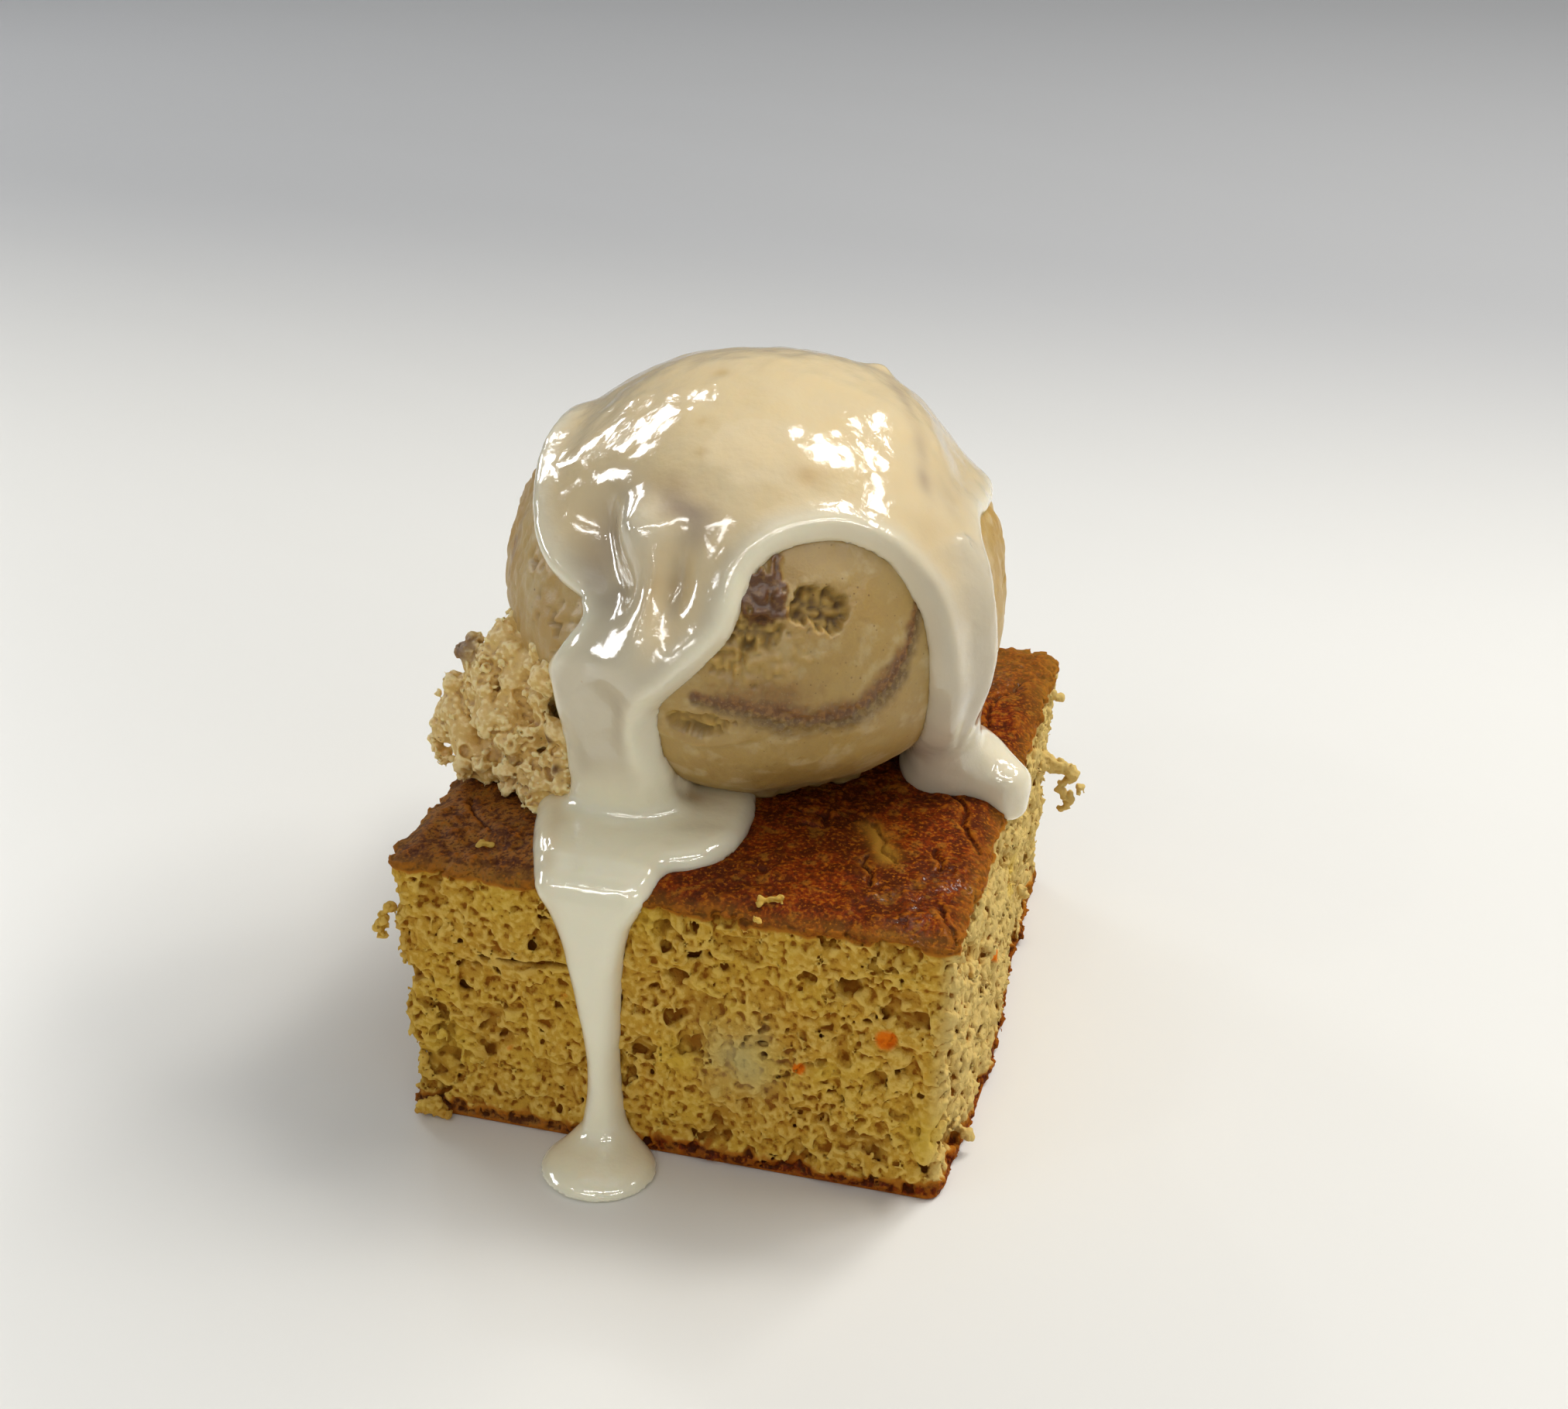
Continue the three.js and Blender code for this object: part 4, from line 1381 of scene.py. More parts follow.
@dataclass
class Icing:
    """One pour of icing: a film over the scoop, a front run to a pool, a drip and a puddle, and a right run."""

    step: float = 0.48
    thin: float = 1.1
    rim: float = 2.4
    pool: float = 2.3
    drip: float = 3.2
    roll: float = 2.5
    bend: float = 1.7
    foot: float = 2.7
    sunk: float = 0.5
    soaked: float = 0.3
    runs_top: float = 84
    sheet_top: float = 52
    foot_top: float = 54
    puddle_top: float = 12
    sheet_back: float = -8
    divide: float = 14
    noise: list[Noise] = field(default_factory=lambda: draw_noises(101, 3), repr=False)

    # The film's edge round the scoop, as azimuth and elevation: the left edge, down the front run's left
    # side and up its right, the arch over the bare front, down and up the right run, and the back.
    EDGE = np.array([
        (-78, 34), (-66, 31), (-56, 26.4), (-48.5, 21.8), (-42, 18.4), (-36, 16), (-30, 14), (-27, 11.8),
        (-28.8, 7.8), (-32.6, 3.2), (-34.6, -1.5), (-32.6, -8), (-31, -15), (-31.5, -23), (-34, -35), (-36, -50),
        (-10, -50), (-8.6, -36), (-8.8, -23), (-8.2, -11), (-5.4, -3.2), (0.9, 4.6), (6.2, 11), (9.3, 16),
        (11.4, 23), (14, 29), (20, 33.5), (27, 35), (34, 35), (41, 32), (46, 28), (49.5, 22), (52, 15), (52.6, 8),
        (53.2, 0), (54.6, -12), (56.6, -22), (60, -31), (65.5, -38), (70, -42), (73, -40), (72.6, -30), (71.2, -18),
        (71.2, -8), (71.6, 4), (74, 12), (77.5, 18.5), (82, 23.5), (90, 26), (102, 24), (118, 20), (134, 14),
        (147, 6), (158, 3), (168, 8), (178, 17), (190, 26), (202, 27), (212, 17), (222, 9), (232, 12), (244, 25),
        (256, 33), (268, 36), (275, 36),
    ])
    # The pool and drip, as x and the distance along the crust and down the front face from y = 0.
    SHEET = np.array([
        (-21.4, -19), (-22.9, -26.5), (-22.3, -30.2), (-21, -35), (-19.4, -39.3), (-17.9, -43), (-17, -44.8),
        (-15.6, -47), (-14.1, -51), (-13.2, -55.5), (-12.4, -60), (-11.6, -65), (-11.1, -70), (-11.2, -75),
        (-11.9, -80), (-12.2, -84), (-5.8, -84), (-6.1, -80), (-6.4, -76.5), (-6.7, -72), (-6.6, -67),
        (-6.4, -61.3), (-6.1, -56.3), (-5.6, -52), (-4.9, -48.7), (-3.7, -45.9), (-2.3, -43.2), (-1.7, -40.6),
        (-0.9, -38.1), (2.7, -36.1), (5, -33), (6.2, -29.5), (6.5, -25.2), (5.6, -19.6), (3.2, -15.5), (-8, -15),
    ])
    # The right run's foot on the crust, in plan, with its toe past the right edge.
    FOOT = np.array([
        (23.6, 2.4), (23.6, -1.2), (24.8, -4.1), (26.5, -4.9), (28.2, -4), (30.2, -3.7), (32.4, -4.8), (34.6, -6.6),
        (36.9, -8.1), (39.2, -8.2), (40.6, -6.8), (40.8, -4.8), (39.6, -2.8), (37.6, -0.7), (35.6, 1.2),
        (33.6, 3.2), (29.8, 4.8), (25.4, 4.6),
    ])
    # The puddle on the table: x and y of its middle, its radius and its height.
    PUDDLE = (-8.3, -48.2, 8.0, 3.1)
    # Where swirl and syrup show through, with some spots of painted shade: azimuth and elevation, half width and half
    # height, strength.
    MAUVE_AND_SHADE = (
        # The spots at (-34, 33), (-29, 27), (-21, 19) and (-4.6, 24) are painted shade in the hollows beside the nub,
        # and the one at (64, 2) is painted shade on the right run; the others are swirl showing through.
        ((-9, 43.5), (2.6, 2.2), 0.6), ((-1.5, 37.5), (2.4, 2.4), 0.7), ((-5.5, 40.5), (3.4, 1.6), 0.5),
        ((-22, 43), (3.4, 1.5), 0.45), ((79, 38), (3.4, 3), 0.3), ((-34, 33), (2.2, 4.4), 0.45),
        ((-29, 27), (2.6, 5), 0.55), ((-21, 19), (3.4, 2.6), 0.45), ((-4.6, 24), (1.1, 4.6), 0.4),
        ((64, 2), (8, 22), 0.3),
    )
    AMBER = (
        ((29.5, 50.5), (2.3, 1.5), 0.8), ((-44, 79.5), (1.1, 1), 0.7), ((-14, 63), (0.7, 0.7), 0.5),
        ((-7, 55), (0.7, 0.6), 0.5), ((-9, 24), (0.9, 3.6), 0.7), ((-14, 46), (3, 1.2), 0.35),
        ((60, 30), (5, 3), 0.15),
    )
    # A streak of syrup down the pool's left side.
    STREAK = np.array(
        [(-20.2, -27.5, 44.5), (-18.2, -33, 44.6), (-16.3, -42, 44), (-14.9, -45, 39), (-13.4, -45.5, 33)]
    )

    def front_run(self, scoop: Scoop) -> Run:
        """The run off the scoop's front on the left, down to the pool.

        Args:
            scoop: What it starts on.

        Returns:
            The run.
        """
        top = scoop.on_surface(np.array([(-20, 14), (-20, 6), (-20.5, -3), (-20, -13)]), 0.3)
        sizes = np.array([(3.4, 0.3), (4.6, 0.9), (6.2, 1.7), (6.9, 2.5)])
        foot = np.array([(-11.0, -29.4, 53, 6.7, 2.9), (-10.7, -28.0, 48, 7.1, 3.2), (-10.2, -26.6, 43.5, 8.6, 3.6)])
        return Run(np.concatenate([np.hstack([top, sizes]), foot]), np.array([0, -1, 0.35]))

    def right_run(self, scoop: Scoop) -> Run:
        """The run off the scoop's right, down to its foot.

        Args:
            scoop: What it starts on.

        Returns:
            The run.
        """
        top = scoop.on_surface(np.array([(63, 27), (63.3, 16), (63.5, 6), (63.5, -5)]), 0.4)
        sizes = np.array([(3.4, 0.3), (4.1, 0.7), (4.5, 1.4), (4.5, 2.1)])
        foot = np.array([(31.0, -10.2, 57, 4.2, 2.9), (30.2, -7.2, 50.5, 4.3, 3.1), (29.6, -3.4, 44.4, 5.4, 3.6)])
        return Run(np.concatenate([np.hstack([top, sizes]), foot]), np.array([0.75, -0.65, 0.2]))

    def right_side(self) -> Run:
        """The right run's front side below the scoop's widest level, down to the foot's left lobe."""
        stations = np.array([(28.4, -11.6, 57.5, 2.4, 2.0), (27.9, -8.8, 52, 2.9, 2.6), (27.5, -4.8, 46, 3.4, 3.0)])
        return Run(stations, np.array([0.75, -0.65, 0.2]))

    def toe(self) -> Run:
        """The foot's swollen middle, from its left lobe to the toe that hangs over the crust's right edge."""
        stations = np.array([
            (26.4, -2.4, 44.9, 3.5, 3.6), (28.8, -2.4, 45.4, 4.1, 3.9), (32.2, -2.6, 45, 4.5, 4),
            (35.2, -3.8, 44.5, 4.1, 3.8), (37.8, -5.2, 43.9, 3.6, 3.4),
        ])
        return Run(stations, np.array([0.35, -0.1, 1]))

    def inward_map(self, scoop: Scoop) -> Array:
        """How far inside the film's edge each whole degree of azimuth and elevation is, in millimetres.

        The edge is closed over the top, past the last azimuth and above the highest elevation.

        Args:
            scoop: What the film lies on.

        Returns:
            Distances for azimuth -180 to 180 and elevation -90 to 90, negative outside the edge.
        """
        azimuth, elevation = (
            grid.ravel() for grid in np.meshgrid(np.arange(-180, 181), np.arange(-90, 91), indexing="ij")
        )
        edge = spline(self.EDGE.astype(float), 5)
        loop = scoop.on_surface(np.concatenate([edge, edge[:1]]))
        places = scoop.on_surface(np.stack([azimuth, elevation], 1).astype(float))
        distance = path_distance(places, loop)[0]
        turned = np.where(azimuth < edge[0, 0], azimuth + 360, azimuth)
        last, above = 288, 99
        outline = np.concatenate([edge, [[last, edge[-1, 1]], [last, above], [edge[0, 0], above]]])
        inside = within(np.stack([turned, elevation], 1) + 1e-3, outline)
        return np.where(inside, distance, -distance).reshape(361, 181)

    @staticmethod
    def look_up(table: Array, azimuth: Array, elevation: Array) -> Array:
        """Reads a map of whole degrees between its entries, in straight lines.

        Args:
            table: The map from inward_map.
            azimuth: The places' azimuths.
            elevation: Their elevations.

        Returns:
            One value for each place.
        """
        a, e = azimuth + 180, elevation + 90
        i, j = np.minimum(a.astype(int), 359), np.minimum(e.astype(int), 179)
        u, v = a - i, e - j
        low = table[i, j] * (1 - u) + table[i + 1, j] * u
        return low * (1 - v) + (table[i, j + 1] * (1 - u) + table[i + 1, j + 1] * u) * v

    def over_scoop(self, points: Array, scoop: Scoop, table: Array) -> tuple[Array, Array]:
        """The film on the scoop: thin on top, thicker at its rolled edge and in the two runs.

        Args:
            points: Rows of x, y, z.
            scoop: What it lies on.
            table: The map from inward_map.

        Returns:
            The depth inside the film, and the height above the scoop.
        """
        azimuth, elevation, outside = scoop.angles(points)
        height = outside - scoop.swell(azimuth, elevation)
        inward = self.look_up(table, azimuth, elevation)
        wave = 0.13 * self.noise[0].at(points, 8.0) + 0.1 * self.noise[1].at(points, 4.2)
        rolled = 1 - 0.8 * bell(scoop.spot(azimuth, elevation, (104, 26), (22, 12)))
        top = self.thin + wave + rolled * (self.rim - self.thin) * bell((inward - 2.3) / 2.1)
        low = ease(24, 2, elevation) * bell((azimuth + 20) / 16)
        low = low + ease(32, -4, elevation) * bell((azimuth - 63) / 14)
        channel = bell(scoop.spot(azimuth, elevation, (-24, 18), (6.5, 8)))
        thickness = top + 0.8 * np.minimum(low, 1) + 0.6 * channel
        thickness = thickness + 0.9 * bell(scoop.spot(azimuth, elevation, (-19, 35), (3.6, 3.2)))
        thickness = thickness + 0.9 * bell(scoop.spot(azimuth, elevation, (-19, 5), (9, 5)))
        return film(inward, height, thickness, self.roll), height

    def over_edge(self, points: Array, cake: Cake, outline: Array, thickness: Array | float, face: Face) -> Array:
        """A film that lies on the crust and bends down over one of its edges round a soft corner.

        Args:
            points: Rows of x, y, z.
            cake: What it lies on.
            outline: Its outline, across and along.
            thickness: Its thickness.
            face: The face that it bends down over.

        Returns:
            The depth inside the film.
        """
        x, y, z = points.T
        across, forward, edge = (x, -y, cake.depth / 2) if face is Face.FRONT else (y, x, cake.width / 2)
        crust = cake.crust_height(np.clip(x, -37, 37), np.clip(y, -42, 42))
        past, above = forward - edge - 0.2, z - crust
        corner = (past > -self.bend) & (above > -self.bend)
        rounded = np.hypot(past + self.bend, above + self.bend) - self.bend
        height = np.where(corner, rounded, np.maximum(past, above))
        along = np.minimum(forward, edge) + np.maximum(-above, 0) * (past > above)
        place = np.stack([across, -along] if face is Face.FRONT else [along, across], 1)
        distance = path_distance(place, np.concatenate([outline, outline[:1]]))[0]
        inward = np.where(within(place, outline), distance, -distance)
        return film(inward, np.abs(height), thickness, self.roll)

    def solid(self, points: Array, cake: Cake, scoop: Scoop, table: Array) -> Array:
        """The whole pour's field: its parts run together, less the scoop and the cake.

        Args:
            points: Rows of x, y, z.
            cake: The cake.
            scoop: The scoop.
            table: The map from inward_map.

        Returns:
            The field, positive inside.
        """
        x, y, z = points.T
        solid, height = self.over_scoop(points, scoop, table)
        low = z < self.runs_top
        runs = np.full(len(points), FAR_OUTSIDE)
        right = merge_high(self.right_run(scoop).field(points[low]), self.right_side().field(points[low]), 2.0)
        runs[low] = np.maximum(self.front_run(scoop).field(points[low]), right)
        solid = merge_high(solid, runs, 2.2)
        sheet = np.full(len(points), FAR_OUTSIDE)
        near = (z < self.sheet_top) & (y < self.sheet_back) & (x < self.divide)
        drop = ease(44, 30, z[near])
        thickness = self.pool + (self.drip - self.pool) * drop + 0.15 * self.noise[0].at(points[near], 8)
        outline = spline(self.SHEET, 4, closed=True)
        sheet[near] = self.over_edge(points[near], cake, outline, thickness, Face.FRONT)
        solid = merge_high(solid, sheet, 2.6)
        foot = np.full(len(points), FAR_OUTSIDE)
        near = (z < self.foot_top) & (x > self.divide)
        outline = spline(self.FOOT, 4, closed=True)
        foot[near] = merge_high(
            self.over_edge(points[near], cake, outline, self.foot, Face.RIGHT), self.toe().field(points[near]), 2.0
        )
        solid = merge_high(solid, foot, 6.0)
        u, v, radius, rise = self.PUDDLE
        offsets = np.stack([(x - u) / radius, (y - v) / (radius * 0.92), z / rise], 1)
        puddle = oval_depth(offsets, np.array([radius, radius, rise]))
        solid = merge_high(solid, np.where(z < self.puddle_top, puddle, FAR_OUTSIDE), 3.2)
        ripple = 0.09 * self.noise[2].at(points, 3.2) + 0.07 * self.noise[1].at(points, 1.9)
        solid = solid + ripple * ease(0, 4, z)
        solid = merge_low(solid, height + self.soaked, 0.3)
        return np.minimum(np.minimum(solid, self.sunk - cake.body(x, y, z)), z - OFF_TABLE)

    def build(self, cake: Cake, scoop: Scoop, finish: Material) -> Piece:
        """Makes the pour.

        Args:
            cake: The cake.
            scoop: The scoop.
            finish: Its material.

        Returns:
            The piece.
        """
        lattice = Lattice(np.array([-36.0, -58.5, -1.5]), np.array([45.5, 41.0, 102.0]), self.step)
        xs, ys, zs = lattice.axes()
        centre = scoop.centre
        x, y, z = xs[:, None, None], ys[None, :, None], zs[None, None, :]
        rise = np.where(z > centre[2], scoop.rise, scoop.drop)
        scaled = np.sqrt(
            ((x - centre[0]) ** 2 + (y - centre[1]) ** 2) / scoop.radius**2 + ((z - centre[2]) / rise) ** 2
        )
        # The field is worked out only where icing can be: round the scoop, over the crust in front and past
        # the cake's front face, and over the crust on the right.
        on_scoop = (scaled > 0.74) & (scaled < 1.2) & (z > 41)
        off_scoop = (scaled > 0.8) & (z < 74) & (cake.body(x, y, z) < 1.2)
        in_front = (x > -30) & (x < self.divide) & (y < self.sheet_back) & ((z > 38) | (y < -40))
        on_right = (x > self.divide) & (y > -20) & (y < 16) & (z > 34)
        near = on_scoop | (off_scoop & (in_front | on_right))
        table = self.inward_map(scoop)

        def exact(points: Array) -> Array:
            """The pour's field at rows of x, y, z."""
            return self.solid(points, cake, scoop, table)

        vertices, quads = lattice.surface(exact, 400, near)
        vertices = relax(vertices, quads, 3)
        vertices[:, 2] = np.maximum(vertices[:, 2], OFF_TABLE)
        masks = self.masks(vertices, scoop, table)
        return make_piece("icing_pour", vertices, [quads], masks, finish, Node.ICING, Slot.ICING)

    def masks(self, points: Array, scoop: Scoop, table: Array) -> dict[str, Array]:
        """The values that the finish reads at each vertex.

        Args:
            points: The vertices.
            scoop: What lies under the icing.
            table: The map from inward_map.

        Returns:
            thin: where the ice cream shows through. veil: where it only dulls the white, on the film below the
                scoop's widest level, and painted shade on the right run. mauve: where swirl shows through, and
                painted shade in the hollows beside the nub and on the right run. amber: where syrup or brown bits
                stain it.
        """
        azimuth, elevation, _ = scoop.angles(points)
        _, height = self.over_scoop(points, scoop, table)
        runs = np.maximum(self.front_run(scoop).field(points), self.right_run(scoop).field(points))
        thin = ease(2.5, 1.0, height) * ease(0.3, -1.5, runs) * ease(-15, 10, elevation)
        inward = self.look_up(table, azimuth, elevation)
        nub = bell(scoop.spot(azimuth, elevation, (-19, 35), (5.5, 4.6)))
        nub = np.maximum(nub, 0.6 * bell(scoop.spot(azimuth, elevation, (-12, 26), (3.0, 8))))
        thin = thin * (1 - 0.8 * nub) * (0.35 + 0.65 * ease(1.0, 6.0, inward))
        # Duller white on the film below the scoop's widest level, and painted shade on the right run.
        dull_and_shade = ease(1.2, 4.2, inward) * ease(-38, -22, elevation) * ease(9, 5, height)
        dull_and_shade = np.maximum(dull_and_shade, 1.25 * bell(scoop.spot(azimuth, elevation, (62, 2), (13, 30))))
        ragged = 0.3 * self.noise[0].at(points, 2.4)
        line, share = path_distance(points, scoop.on_surface(scoop.BURIED_SWIRL))
        mauve_and_shade = bell(line / (0.9 + 0.5 * share) + ragged)
        # The table's spots add painted shade in the hollows beside the nub and on the right run to the swirl showing
        # through.
        mauve_and_shade = scoop.stains(azimuth, elevation, self.MAUVE_AND_SHADE, mauve_and_shade, ragged)
        amber = scoop.stains(azimuth, elevation, self.AMBER, np.zeros(len(points)), ragged)
        amber = amber + 0.7 * bell(lengths((points - [-2.3, -23.4, 45]) / [1.7, 1.5, 2.5]) + ragged)
        amber = amber + 0.42 * bell(path_distance(points, self.STREAK)[0] / 1.3)
        return {"thin": thin, "dull_and_shade": dull_and_shade, "mauve_and_shade": mauve_and_shade, "amber": amber}


# ---- finishes ----

Socket = bpy.types.NodeSocket
Value = float | Color | Vector | Socket


class Kind(Enum):
    """What a node group's socket carries."""

    NUMBER = "NodeSocketFloat"
    COLOR = "NodeSocketColor"
    PLACE = "NodeSocketVector"


@dataclass
class Graph:
    """A node tree that is being filled in."""

    tree: bpy.types.NodeTree

    def add(self, kind: str, inputs: dict[str | int, Value] | None = None, **settings: object) -> bpy.types.Node:
        """Adds a node.

        Args:
            kind: The node's type, without the ShaderNode that it starts with.
            inputs: For each input's name or number, a value or the socket that feeds it.
            settings: The node's own properties.

        Returns:
            The node.
        """
        node = self.tree.nodes.new("ShaderNode" + kind)
        for key, value in settings.items():
            setattr(node, key, value)
        for key, value in (inputs or {}).items():
            if isinstance(value, Socket):
                self.tree.links.new(value, node.inputs[key])
            elif isinstance(value, tuple) and len(value) == 3 and node.inputs[key].type == "RGBA":
                node.inputs[key].default_value = (*value, 1)
            else:
                node.inputs[key].default_value = value
        return node

    def math(self, operation: str, *values: Value) -> Socket:
        """One arithmetic step on numbers."""
        return self.add("Math", dict(enumerate(values)), operation=operation).outputs[0]

    def times(self, a: Value, b: Value) -> Socket:
        """The product of two numbers."""
        return self.math("MULTIPLY", a, b)

    def tint(self, a: Value, b: Value, mask: Value, share: Value) -> Socket:
        """Colour a, turned towards colour b by a share of a mask."""
        return self.blend(self.times(mask, share), a, b)

    def lift(self, value: Value, mask: Value, amount: float) -> Socket:
        """The value, with an amount of a mask added."""
        return self.math("MULTIPLY_ADD", mask, amount, value)

    def rise(self, value: Value, low: float, high: float) -> Socket:
        """Rises smoothly from 0 where the value is low to 1 where it is high."""
        inputs = {"Value": value, "From Min": low, "From Max": high}
        return self.add("MapRange", inputs, interpolation_type="SMOOTHSTEP").outputs["Result"]

    def blend(self, factor: Value, a: Value, b: Value) -> Socket:
        """Colour a where the factor is 0 and colour b where it is 1."""
        return self.add("Mix", {0: factor, 6: a, 7: b}, data_type="RGBA").outputs[2]

    def noise(self, coordinates: Socket, cell: Value, detail: float = 2.0) -> Socket:
        """Soft noise from 0 to 1, with features of about a cell in millimetres."""
        scale = 1 / (cell * MM) if isinstance(cell, (int, float)) else self.math("DIVIDE", 1 / MM, cell)
        return self.add("TexNoise", {"Vector": coordinates, "Scale": scale, "Detail": detail}).outputs["Fac"]

    def mask(self, name: str) -> Socket:
        """A mask that the mesh carries."""
        return self.add("Attribute", attribute_name=name).outputs["Fac"]

    def place(self) -> Socket:
        """The place on the object."""
        return self.add("TexCoord").outputs["Object"]


@dataclass(frozen=True)
class Effect:
    """A node group that several finishes use."""

    tree: bpy.types.NodeTree

    @classmethod
    def start(
        cls, name: str, inputs: dict[str, Kind], outputs: dict[str, Kind]
    ) -> tuple["Effect", Graph, dict, dict]:
        """Starts a group with its sockets.

        Args:
            name: The group's name.
            inputs: What each input carries, by its name.
            outputs: The same for the outputs.

        Returns:
            The effect, its graph, and its inputs and outputs by name for use inside.
        """
        tree = bpy.data.node_groups.new(name, "ShaderNodeTree")
        for side, sockets in (("INPUT", inputs), ("OUTPUT", outputs)):
            for socket, kind in sockets.items():
                tree.interface.new_socket(socket, in_out=side, socket_type=kind.value)
        source, sink = tree.nodes.new("NodeGroupInput"), tree.nodes.new("NodeGroupOutput")
        return cls(tree), Graph(tree), source.outputs, sink.inputs

    def use(self, graph: Graph, inputs: dict[str, Value]) -> bpy.types.Node:
        """Places the group in a graph and feeds its inputs."""
        return graph.add("Group", inputs, node_tree=self.tree)


@dataclass(frozen=True)
class Effects:
    """The three effects that the finishes share."""

    grain: Effect
    specks: Effect
    spice: Effect

    @classmethod
    def make(cls) -> "Effects":
        """Builds each group once."""
        return cls(cls.make_grain(), cls.make_specks(), cls.make_spice())

    @staticmethod
    def make_grain() -> Effect:
        """Grain: noise of two sizes, as a height for a bump and as an uneven tone.

        Returns:
            The group.
        """
        effect, graph, given, out = Effect.start(
            "Grain",
            {"Place": Kind.PLACE, "Coarse": Kind.NUMBER, "Fine": Kind.NUMBER},
            {"Height": Kind.NUMBER, "Tone": Kind.NUMBER},
        )
        coarse = graph.noise(given["Place"], given["Coarse"], 2)
        fine = graph.noise(given["Place"], given["Fine"], 3)
        height = graph.math("MULTIPLY_ADD", fine, 0.45, graph.times(coarse, 0.55))
        graph.tree.links.new(height, out["Height"])
        graph.tree.links.new(graph.rise(height, 0.36, 0.64), out["Tone"])
        return effect

    @staticmethod
    def make_specks() -> Effect:
        """Specks: small round marks, one in some of a lattice's cells, thicker in drifts.

        Returns:
            The group.
        """
        effect, graph, given, out = Effect.start(
            "Specks",
            {"Place": Kind.PLACE, "Cell": Kind.NUMBER, "Size": Kind.NUMBER, "Cover": Kind.NUMBER},
            {"Mask": Kind.NUMBER},
        )
        scale = graph.math("DIVIDE", 1 / MM, given["Cell"])
        cells = graph.add("TexVoronoi", {"Vector": given["Place"], "Scale": scale})
        chance = graph.add("SeparateColor", {"Color": cells.outputs["Color"]})
        size = graph.times(given["Size"], graph.math("MULTIPLY_ADD", chance.outputs["Green"], 0.7, 0.3))
        inside = graph.math("SUBTRACT", size, cells.outputs["Distance"])
        mark = graph.rise(inside, 0.0, 0.08)
        drift = graph.noise(given["Place"], 7.0, 1)
        cover = graph.times(given["Cover"], graph.rise(drift, 0.3, 0.65))
        kept = graph.math("LESS_THAN", chance.outputs["Red"], cover)
        graph.tree.links.new(graph.times(mark, kept), out["Mask"])
        return effect

    @staticmethod
    def make_spice() -> Effect:
        """Spice: a colour stained by cinnamon swirl, browner above and greyer below, with pale bubbles.

        Returns:
            The group.
        """
        effect, graph, given, out = Effect.start(
            "Spice",
            {"Place": Kind.PLACE, "Color": Kind.COLOR, "Mask": Kind.NUMBER, "Low Side": Kind.NUMBER},
            {"Color": Kind.COLOR},
        )
        mottle = graph.noise(given["Place"], 0.8, 3)
        patch = graph.rise(mottle, 0.36, 0.68)
        brown, grey = graph.blend(patch, *BROWN_SPICE), graph.blend(patch, *GREY_SPICE)
        stain = graph.blend(given["Low Side"], brown, grey)
        cells = graph.add("TexVoronoi", {"Vector": given["Place"], "Scale": 1 / (0.62 * MM)}).outputs["Distance"]
        bubble = graph.rise(cells, 0.24, 0.12)
        stain = graph.tint(stain, SPICE_BUBBLE, bubble, 0.25)
        broken = graph.times(given["Mask"], graph.math("MULTIPLY_ADD", mottle, 1.3, 0.35))
        graph.tree.links.new(graph.blend(graph.rise(broken, 0.05, 1.0), given["Color"], stain), out["Color"])
        return effect


def shade(
    graph: Graph, color: Socket, roughness: Value, height: Socket, bump: float, fixed: dict[str, Value]
) -> None:
    """Ends a material with its shader.

    Args:
        graph: The material's graph.
        color: The base colour.
        roughness: The roughness, fixed or varying.
        height: The height of the relief too fine for the mesh.
        bump: That relief's full depth in millimetres.
        fixed: The shader's values that are the same all over.
    """
    normal = graph.add("Bump", {"Height": height, "Distance": bump * MM, "Strength": 1.0}).outputs["Normal"]
    shader = graph.add("BsdfPrincipled", {"Base Color": color, "Roughness": roughness, "Normal": normal, **fixed})
    output = graph.add("OutputMaterial")
    graph.tree.links.new(shader.outputs["BSDF"], output.inputs["Surface"])


def new_material(name: str) -> tuple[Material, Graph]:
    """Starts a material.

    Args:
        name: The material's name.

    Returns:
        The empty material and its graph.
    """
    material = bpy.data.materials.new(name)
    material.use_nodes = True
    material.node_tree.nodes.clear()
    return material, Graph(material.node_tree)


